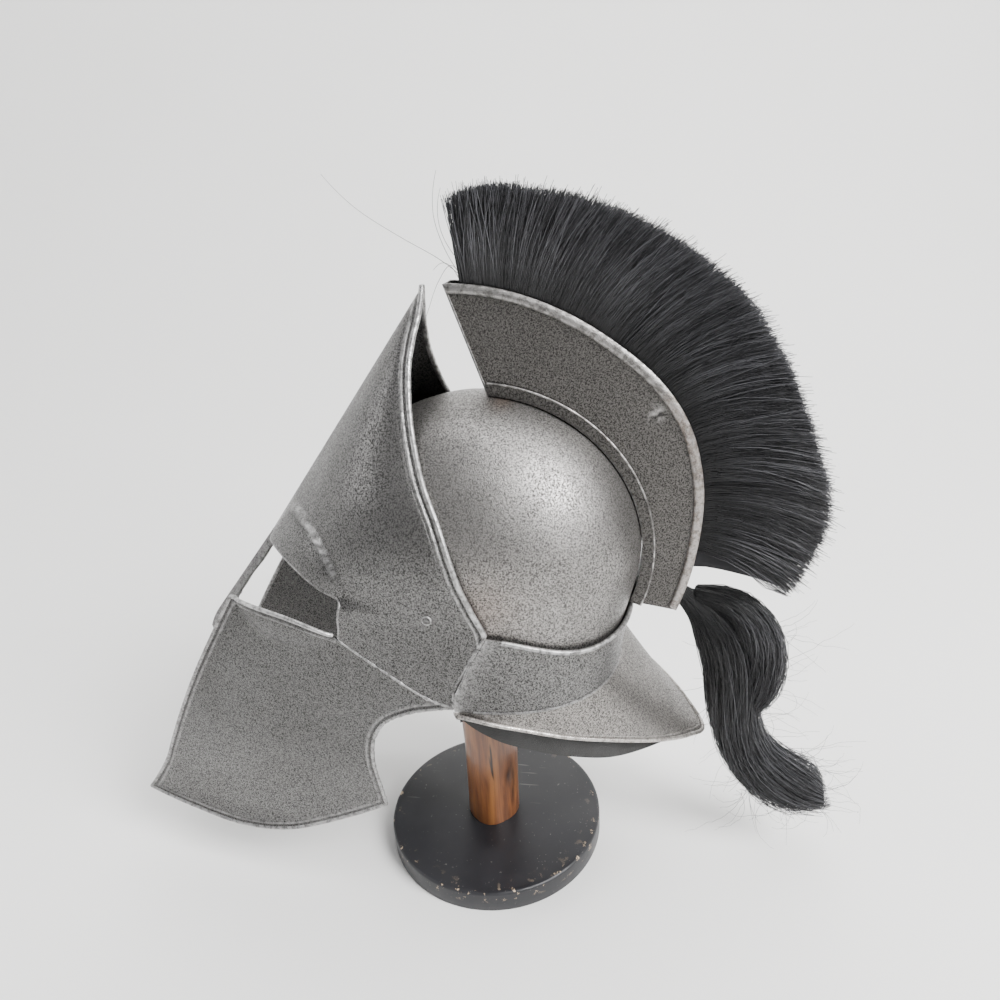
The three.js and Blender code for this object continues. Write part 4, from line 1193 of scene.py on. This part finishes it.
def strand_group() -> bpy.types.NodeTree:
    """Geometry nodes that turn lines into closed, tapered, slightly kinked hairs."""
    tree = bpy.data.node_groups.new("hair_strands", "GeometryNodeTree")
    face = tree.interface
    face.new_socket("Geometry", in_out="INPUT", socket_type="NodeSocketGeometry")
    for name, value in (("Root radius", 0.0003), ("Tip share", 0.4), ("Kink", 0.0006), ("Kink size", 60.0)):
        face.new_socket(name, in_out="INPUT", socket_type="NodeSocketFloat").default_value = value
    face.new_socket("Seed", in_out="INPUT", socket_type="NodeSocketInt").default_value = 1
    face.new_socket("Material", in_out="INPUT", socket_type="NodeSocketMaterial")
    face.new_socket("Geometry", in_out="OUTPUT", socket_type="NodeSocketGeometry")
    w = Wiring(tree)
    given, result = tree.nodes.new("NodeGroupInput"), tree.nodes.new("NodeGroupOutput")
    lines = w.set(w.node("GeometryNodeMeshToCurve"), i0=given.outputs["Geometry"]).outputs[0]
    factor = w.node("GeometryNodeSplineParameter").outputs["Factor"]
    shade = w.node("FunctionNodeRandomValue", data_type="FLOAT")
    w.link(given.outputs["Seed"], shade.inputs["Seed"])
    for name, value, domain in (("along", factor, "POINT"), ("shade", shade.outputs[1], "CURVE")):
        store = w.node("GeometryNodeStoreNamedAttribute", data_type="FLOAT", domain=domain)
        w.link(lines, store.inputs["Geometry"])
        store.inputs["Name"].default_value = name
        w.link(value, [s for s in store.inputs if s.name == "Value" and s.enabled][0])
        lines = store.outputs[0]
    place = w.node("GeometryNodeInputPosition").outputs[0]
    noise = w.set(w.node("ShaderNodeTexNoise", noise_dimensions="4D"), i0=place)
    w.link(given.outputs["Kink size"], noise.inputs["Scale"])
    w.link(w.maths("MULTIPLY", shade.outputs[1], 40.0), noise.inputs["W"])
    centred = w.set(w.node("ShaderNodeVectorMath", operation="SUBTRACT"), i0=noise.outputs["Color"], i1=(0.5, 0.5, 0.5))
    grown = w.set(w.node("ShaderNodeVectorMath", operation="SCALE"), i0=centred.outputs[0])
    w.link(w.maths("MULTIPLY", w.maths("MULTIPLY", factor, given.outputs["Kink"]), 2.0), grown.inputs["Scale"])
    moved = w.node("GeometryNodeSetPosition")
    w.link(lines, moved.inputs["Geometry"])
    w.link(grown.outputs[0], moved.inputs["Offset"])
    thin = w.maths("SUBTRACT", 1.0, w.maths("MULTIPLY", w.maths("POWER", factor, 1.6), w.maths(
        "SUBTRACT", 1.0, given.outputs["Tip share"])))
    radius = w.maths("MULTIPLY", given.outputs["Root radius"], thin)
    ring = w.node("GeometryNodeCurvePrimitiveCircle")
    ring.inputs["Resolution"].default_value = 3
    ring.inputs["Radius"].default_value = 1.0
    tubes = w.node("GeometryNodeCurveToMesh")
    w.link(moved.outputs[0], tubes.inputs["Curve"])
    w.link(ring.outputs[0], tubes.inputs["Profile Curve"])
    w.link(radius, tubes.inputs["Scale"])
    tubes.inputs["Fill Caps"].default_value = True
    shaded = w.set(w.node("GeometryNodeSetShadeSmooth"), i0=tubes.outputs[0])
    realized = w.set(w.node("GeometryNodeRealizeInstances"), i0=shaded.outputs[0])
    painted = w.node("GeometryNodeSetMaterial")
    w.link(realized.outputs[0], painted.inputs["Geometry"])
    w.link(given.outputs["Material"], painted.inputs["Material"])
    w.link(painted.outputs[0], result.inputs[0])
    return tree


@dataclass(frozen=True)
class HairCut:
    """How a bundle of lines becomes hair: sizes in metres."""

    radius: float
    tip: float
    kink: float
    kink_size: float
    seed: int


class HairMaker:
    """Turns bundles of lines into hair pieces with the strand group."""

    def __init__(self, palette: Palette) -> None:
        self.tree = strand_group()
        self.material = palette.of[Slot.HAIR]

    def make(self, name: str, lines: Array, cut: HairCut, nodes: tuple[str, ...] = ()) -> bpy.types.Object:
        """Makes one piece of hair.

        Args:
            name: the piece's name.
            lines: strands by points by XYZ, in mm.
            cut: the hair's sizes.
            nodes: CAD nodes that it stands for.
        Returns:
            The baked piece.
        """
        strands, steps = lines.shape[:2]
        index = np.arange(strands * steps).reshape(strands, steps)
        edges = np.stack([index[:, :-1], index[:, 1:]], -1).reshape(-1, 2)
        guide = bpy.data.meshes.new(name + "_lines")
        guide.from_pydata((lines.reshape(-1, 3) * MM).tolist(), edges.tolist(), [])
        holder = bpy.data.objects.new(name + "_lines", guide)
        bpy.context.scene.collection.objects.link(holder)
        modifier = holder.modifiers.new("hair", "NODES")
        modifier.node_group = self.tree
        values = {"Root radius": cut.radius, "Tip share": cut.tip, "Kink": cut.kink, "Kink size": cut.kink_size,
                  "Seed": cut.seed, "Material": self.material}
        for item in self.tree.interface.items_tree:
            if item.in_out == "INPUT" and item.name in values:
                modifier[item.identifier] = values[item.name]
        bpy.context.view_layer.update()
        baked = bpy.data.meshes.new_from_object(holder.evaluated_get(bpy.context.evaluated_depsgraph_get()))
        baked.name = name
        piece = bpy.data.objects.new(name, baked)
        bpy.context.scene.collection.objects.link(piece)
        bpy.data.objects.remove(holder)
        bpy.data.meshes.remove(guide)
        return seat(piece, nodes)


def brush_point(f: Array, t: Array) -> Array:
    """Side-view place in the brush: f runs along the crest, t from the root to the tip."""
    key = np.linspace(0, 1, len(BRUSH))
    f = np.clip(f, 0, 1)
    columns = [np.interp(f, FINE, hair_column) for hair_column in BRUSH_FINE.T]
    root, tip = np.stack(columns[:2], -1), np.stack(columns[2:], -1)
    place = root + (tip - root) * t[..., None]
    place[..., 1] += 5 * f * 4 * t * (1 - t)
    return place


FINE = np.linspace(0, 1, 241)
BRUSH_FINE = curve(BRUSH, 241)
BRUSH_ACROSS = np.array([(0, 6.6), (0.2, 7), (0.5, 11.5), (0.86, 14), (1, 11.5)])


class Plume:
    """The stiff brush of horsehair in the crest box."""

    def core(self, palette: Palette) -> None:
        """Dark mass behind the outer hair; it stands for the CAD brush."""
        rings = []
        for f in np.linspace(0.012, 0.99, 90):
            t = np.concatenate([np.linspace(-0.06, 0.9, 14), np.linspace(0.9, -0.06, 14)])
            side = np.concatenate([np.ones(14), -np.ones(14)])
            across = np.interp(t, BRUSH_ACROSS[:, 0], BRUSH_ACROSS[:, 1]) * 0.78
            across = across * np.where(t > 0.85, 0.7, 1)
            place = brush_point(np.full(28, f), t)
            rings.append(np.stack([across * side, place[:, 0], place[:, 1]], -1))
        shell = Shell("brush_core").add(loft(np.array(rings)))
        shell.build(Slot.HAIR, palette.core, ("plume",), sharp=80)

    @staticmethod
    def strands(count: int, seed: int, steps: int = 6) -> Array:
        """Lines of the brush's hair, gathered in loose clumps."""
        rng = np.random.default_rng(seed)
        clumps = 420
        home_f, home_x = rng.uniform(-0.005, 1.0, clumps), rng.uniform(-1, 1, clumps)
        of = rng.integers(0, clumps, count)
        f0 = np.clip(home_f[of] + rng.normal(0, 0.008, count), -0.004, 1.0)
        x0 = np.clip(home_x[of] + rng.normal(0, 0.30, count), -1, 1)
        edge = rng.random(count) < 0.55
        x0 = np.where(edge, np.sign(x0 + 1e-6) * (1 - 0.12 * rng.random(count)), x0)
        length = rng.normal(0.985, 0.018, count) - 0.03 * np.abs(x0) ** 3
        length = np.where(rng.random(count) < 0.05, length + rng.uniform(0.0, 0.10, count), length)
        t = np.linspace(0, 1, steps)[None]
        lean = rng.normal(0, 0.013, count)[:, None] + (rng.normal(0, 0.006, clumps)[of])[:, None]
        pull = 0.35 * np.sin(math.pi * np.clip(t * 1.1, 0, 1))
        f = f0[:, None] + (home_f[of] - f0)[:, None] * pull + lean * t ** 1.5
        f = f - 0.055 * smooth(f0 / 0.3)[:, None] * (1 - t ** 1.3)
        reach = t * length[:, None]
        across = np.interp(np.clip(reach, 0, 1), BRUSH_ACROSS[:, 0], BRUSH_ACROSS[:, 1])
        x = x0[:, None] * across * (1 + 0.06 * rng.normal(size=(count, 1)) * t)
        place = brush_point(f, reach)
        over = np.clip(-f, 0, 1)
        place[..., 0] -= over * 300
        return np.stack([x, place[..., 0], place[..., 1]], -1)

    @staticmethod
    def strays() -> Array:
        """Long single hairs that stand out from the front of the brush."""
        paths = [
            [(2, 8, 462), (1, -6, 473), (-1, -30, 487), (-2, -58, 506), (-3, -78, 527)],
            [(-1, 7, 462), (-2, 1, 468), (-2, -8, 458), (-3, -16, 442), (-3, -20, 433)],
            [(1, 6, 465), (2, -2, 482), (2, -6, 500), (1, -2, 524)],
            [(3, 8, 458), (3, -1, 470), (3, -9, 466)],
            [(-3, 7, 470), (-3, -4, 492), (-2, -1, 514)],
        ]
        return np.stack([curve(path, 22) for path in paths])

    def build(self, palette: Palette, maker: HairMaker) -> None:
        """Makes the core and the hair round it."""
        self.core(palette)
        for index, (count, radius) in enumerate(((6150, 0.00037), (6150, 0.00033))):
            maker.make(f"brush_hair_{index + 1}", self.strands(count, 100 + index),
                       HairCut(radius, 0.45, 0.0009, 90.0, 7 + index))
        maker.make("brush_strays", self.strays(), HairCut(0.00022, 0.6, 0.0, 40.0, 3))


class Tail:
    """Hank of long hair that hangs behind the crest and curls at its end."""

    @staticmethod
    def along(table: Array, shares: Array) -> tuple[Array, Array, Array]:
        """Middle line, its sideways direction in the side view, and its half-size."""
        fine = curve(table, 200)
        step = np.linspace(0, 1, 200)
        middle = np.stack([np.interp(shares, step, fine[:, k]) for k in (0, 1)], -1)
        ahead = np.stack([np.interp(np.clip(shares + 0.01, 0, 1), step, fine[:, k]) for k in (0, 1)], -1) \
            - np.stack([np.interp(np.clip(shares - 0.01, 0, 1), step, fine[:, k]) for k in (0, 1)], -1)
        run = unit(ahead)
        return middle, np.stack([-run[..., 1], run[..., 0]], -1), np.interp(shares, step, fine[:, 2])

    def lines(self, table: Array, count: int, seed: int, steps: int, spill: float, depth: float) -> Array:
        """Strands that follow a hank.

        Args:
            table: its stations.
            count: how many strands.
            seed: of the random draws.
            steps: points on a strand.
            spill: how far strands stray outside it, as a share of its size.
            depth: half-size across the helmet at its widest, in mm.
        Returns:
            Strands by points by XYZ.
        """
        rng = np.random.default_rng(seed)
        turn = rng.uniform(0, 2 * math.pi, count)
        inside = np.sqrt(rng.random(count)) * (1 + spill * np.abs(rng.normal(size=count)))
        start, end = rng.uniform(0, 0.05, count), rng.uniform(0.72, 1.0, count)
        t = np.linspace(0, 1, steps)[None]
        shares = start[:, None] + (end - start)[:, None] * t
        middle, across, half = self.along(table, shares)
        swirl = turn[:, None] + rng.normal(0, 0.5, count)[:, None] * t + 1.1 * t
        wobble = 1 + 0.12 * np.sin(6.28 * (t * rng.uniform(0.6, 1.6, count)[:, None] + rng.random(count)[:, None]))
        offset = (half * inside[:, None] * wobble) * np.cos(swirl)
        x = np.minimum(half, depth) * inside[:, None] * wobble * np.sin(swirl)
        place = middle + across * offset[..., None]
        return np.stack([x, place[..., 0], place[..., 1]], -1)

    @staticmethod
    def wisps(count: int, seed: int) -> Array:
        """Loose fine hairs that curl out of the hank."""
        rng = np.random.default_rng(seed)
        made = []
        for _ in range(count):
            low = rng.random() < 0.6
            start = np.array([rng.uniform(-9, 9), rng.uniform(196, 262), rng.uniform(50, 100)]) if low else \
                np.array([rng.uniform(-8, 8), rng.uniform(180, 222), rng.uniform(110, 215)])
            heading = rng.uniform(-2.6, 0.9)
            bend = rng.normal(0, 1.4)
            length = rng.uniform(22, 62)
            points = [start]
            for k in range(15):
                heading += bend / 15
                step = length / 15 * np.array([rng.normal(0, 0.25), math.cos(heading), math.sin(heading)])
                points.append(points[-1] + step)
            made.append(points)
        lines = np.array(made)
        lines[..., 1] = np.clip(lines[..., 1], 120, 290)
        lines[..., 2] = np.maximum(lines[..., 2], 3)
        return lines

    def core(self, palette: Palette) -> None:
        """Dark mass inside the hank; it stands for the CAD hank."""
        shell = Shell("hank_core")
        for table, depth in ((HANK, 13.0), (LOBE, 11.0)):
            middle, across, half = self.along(table, np.linspace(0, 0.97, 60))
            angle = np.linspace(0, 2 * math.pi, 20, endpoint=False)[None, :, None]
            size = 0.72 * half[:, None, None]
            flat = np.minimum(size, 0.72 * depth)
            side = np.concatenate([np.zeros((60, 1)), across], -1)[:, None]
            centre = np.concatenate([np.zeros((60, 1)), middle], -1)[:, None]
            shell.add(loft(centre + size * np.cos(angle) * side + flat * np.sin(angle) * np.array([1.0, 0, 0])))
        shell.build(Slot.HAIR, palette.core, ("plume_tail",), sharp=80)

    def build(self, palette: Palette, maker: HairMaker) -> None:
        """Makes the hank and its loose hairs."""
        self.core(palette)
        maker.make("hank_hair", self.lines(HANK, 2100, 201, 11, 0.06, 14.0), HairCut(0.0003, 0.5, 0.0012, 40.0, 21))
        maker.make("lobe_hair", self.lines(LOBE, 1300, 202, 9, 0.05, 13.0), HairCut(0.0003, 0.5, 0.0012, 40.0, 22))
        maker.make("loose_hair", self.wisps(190, 203), HairCut(0.00016, 0.5, 0.0008, 40.0, 23))


# ---- stand ----

class Stand:
    """Painted disc and the branch that the helmet rests on."""

    def build(self, palette: Palette) -> None:
        """Makes base and post."""
        self.base(palette)
        self.post(palette)

    @staticmethod
    def base(palette: Palette) -> None:
        """Disc with a rounded, chipped upper edge."""
        radius, height, count = 89.0, 18.0, 180
        arc = np.linspace(0, math.pi / 2, 7)
        profile = [(0.5, 0), (radius - 1.2, 0), (radius - 0.3, 0.4), (radius, 1.3), (radius, 8)] \
            + [(radius - 2.2 + 2.2 * math.cos(a), height - 2.2 + 2.2 * math.sin(a)) for a in arc] \
            + [(radius - 5, height), (radius - 14, height), (radius * 0.5, height), (0.5, height)]
        angle = np.linspace(0, 2 * math.pi, count, endpoint=False)
        rings = np.array([np.stack([r * np.cos(angle), r * np.sin(angle), np.full(count, z)], -1) for r, z in profile])
        near_edge = np.exp(-((np.linalg.norm(rings[..., :2], axis=-1) - radius + 1) ** 2
                             + (rings[..., 2] - height + 1) ** 2) / 3.0 ** 2)
        bite = near_edge * np.clip(ripple(rings, 5, 301) - 0.8, 0, 1)
        rings[..., 2] -= 0.9 * bite
        wear = np.concatenate([near_edge.reshape(-1), [0, 0]])
        Shell("base_disc").add(loft(rings), wear=wear).build(Slot.PAINT, palette.of[Slot.PAINT], ("stand_base",), sharp=50)

    @staticmethod
    def post(palette: Palette) -> None:
        """Branch with its bark side, a knot and a split."""
        low, top, sides = 18.3, 379.0, 72
        h = np.linspace(0, 360.7, 130)[:, None]
        a = np.linspace(0, 2 * math.pi, sides, endpoint=False)[None]
        knot = 4.5 * np.exp(-(((h - 104) / 17) ** 2)) * np.maximum(0, np.cos(a + 2.2)) ** 2
        grain = 0.7 * np.cos(3 * a + h / 60) + 0.4 * np.cos(5 * a - h / 45)
        radius = 21.5 + grain + knot - 1.2 * h / 362
        x = radius * np.cos(a) + 2 * np.sin(h / 70)
        y = radius * np.sin(a) - 1.5 + 3 * np.sin(h / 115)
        rings = np.stack(np.broadcast_arrays(x, y, low + h * (top - low) / 362), -1)
        split = np.exp(-(((a - 1.15 + 0.05 * np.sin(h / 9)) * 21) / 1.1) ** 2) * smooth((h - 8) / 10) * smooth((70 - h) / 20)
        eye = np.exp(-(((a - 0.95) * 21) / 3.2) ** 2 - ((h - 46) / 9) ** 2)
        dent = 0.8 * split + 1.2 * eye
        out = np.stack(np.broadcast_arrays(np.cos(a), np.sin(a), 0 * h), -1)
        rings = rings - out * dent[..., None] + out * (0.18 * ripple(rings * np.array([1, 1, 0.1]), 4, 311))[..., None]
        tone = np.concatenate([np.clip(split + eye, 0, 1).reshape(-1), [0, 0]])
        Shell("post_wood").add(loft(rings), tone=tone).build(Slot.WOOD, palette.of[Slot.WOOD], ("stand_post",), sharp=50)


# ---- studio ----

@dataclass(frozen=True)
class Lamp:
    """Soft square light that looks at the helmet."""

    name: str
    azimuth: float
    elevation: float
    distance: float
    size: float
    power: float


class Studio:
    """Pale floor, soft lights and the camera."""

    LAMPS = (
        Lamp("rear_window", 62, 38, 2.6, 1.2, 165),
        Lamp("front_window", -150, 34, 2.8, 1.1, 110),
        Lamp("low_front", -80, 24, 2.8, 1.2, 26),
        Lamp("ceiling", 150, 80, 2.8, 2.4, 85),
    )
    AIM = Vector((0, 0.01, 0.27))
    EYE = Vector((0.4842, 0.1258, 0.5131))
    FORWARD = Vector((-0.9024, -0.1918, -0.3859))
    RIGHT = Vector((-0.1804, 0.9814, -0.0660))
    LENS = 27.04

    def build(self) -> None:
        """Makes floor, lights, world and camera."""
        self.floor()
        for lamp in self.LAMPS:
            self.light(lamp)
        self.world()
        self.camera()

    @staticmethod
    def floor() -> None:
        """Wide floor that sweeps up far behind the helmet."""
        steps = np.linspace(0, math.pi / 2, 16)
        sweep = [(3.0, 0.0), (-0.6, 0.0)] + [(-0.6 - 0.9 * math.sin(a), 0.9 - 0.9 * math.cos(a)) for a in steps[1:]] \
            + [(-1.5, 4.0)]
        across = unit(np.array([0.9024, 0.1918]))
        points = [(d * across[0] - s * across[1], d * across[1] + s * across[0], z)
                  for d, z in sweep for s in (-5.0, 5.0)]
        faces = [(2 * i, 2 * i + 1, 2 * i + 3, 2 * i + 2) for i in range(len(sweep) - 1)]
        mesh = bpy.data.meshes.new("floor")
        mesh.from_pydata(points, [], faces)
        mesh.shade_smooth()
        mesh.materials.append(floor_material())
        floor = bpy.data.objects.new("floor", mesh)
        bpy.context.scene.collection.objects.link(floor)

    def light(self, lamp: Lamp) -> None:
        """Adds one soft light."""
        data = bpy.data.lights.new(lamp.name, "AREA")
        data.energy, data.size, data.shape = lamp.power, lamp.size, "SQUARE"
        made = bpy.data.objects.new(lamp.name, data)
        az, el = math.radians(lamp.azimuth), math.radians(lamp.elevation)
        away = Vector((math.cos(el) * math.cos(az), math.cos(el) * math.sin(az), math.sin(el)))
        made.location = self.AIM + away * lamp.distance
        made.rotation_euler = (-away).to_track_quat("-Z", "Y").to_euler()
        bpy.context.scene.collection.objects.link(made)

    @staticmethod
    def world() -> None:
        """Soft room: bright above, dimmer towards the floor."""
        world = bpy.data.worlds.new("room")
        world.use_nodes = True
        w = Wiring(world.node_tree)
        back = world.node_tree.nodes["Background"]
        height = w.node("ShaderNodeSeparateXYZ")
        w.link(w.node("ShaderNodeTexCoord").outputs["Generated"], height.inputs[0])
        w.link(w.mix(w.remap(height.outputs[2], -0.2, 0.8), (0.34, 0.34, 0.34, 1), (0.62, 0.63, 0.65, 1)),
               back.inputs["Color"])
        back.inputs["Strength"].default_value = 0.5
        bpy.context.scene.world = world

    def camera(self) -> None:
        """Camera at the helmet's left rear, looking down on it."""
        data = bpy.data.cameras.new("camera")
        data.lens, data.sensor_width = self.LENS, 36.0
        data.clip_start = 0.01
        made = bpy.data.objects.new("camera", data)
        forward = self.FORWARD.normalized()
        right = (self.RIGHT - self.RIGHT.dot(forward) * forward).normalized()
        up = right.cross(forward)
        turn = Matrix((right, up, -forward)).transposed().to_4x4()
        made.matrix_world = Matrix.Translation(self.EYE) @ turn
        bpy.context.scene.collection.objects.link(made)
        bpy.context.scene.camera = made


def main() -> None:
    """Builds the dressed helmet, its stand and the studio, in that order."""
    palette = Palette()
    Stand().build(palette)
    Bowl().build(palette)
    FacePlate().build(palette)
    CheekPlates().build(palette)
    NeckBand().build(palette)
    NeckGuard().build(palette)
    Crest().build(palette)
    maker = HairMaker(palette)
    Plume().build(palette, maker)
    Tail().build(palette, maker)
    Studio().build()


if __name__ == "__main__":
    main()
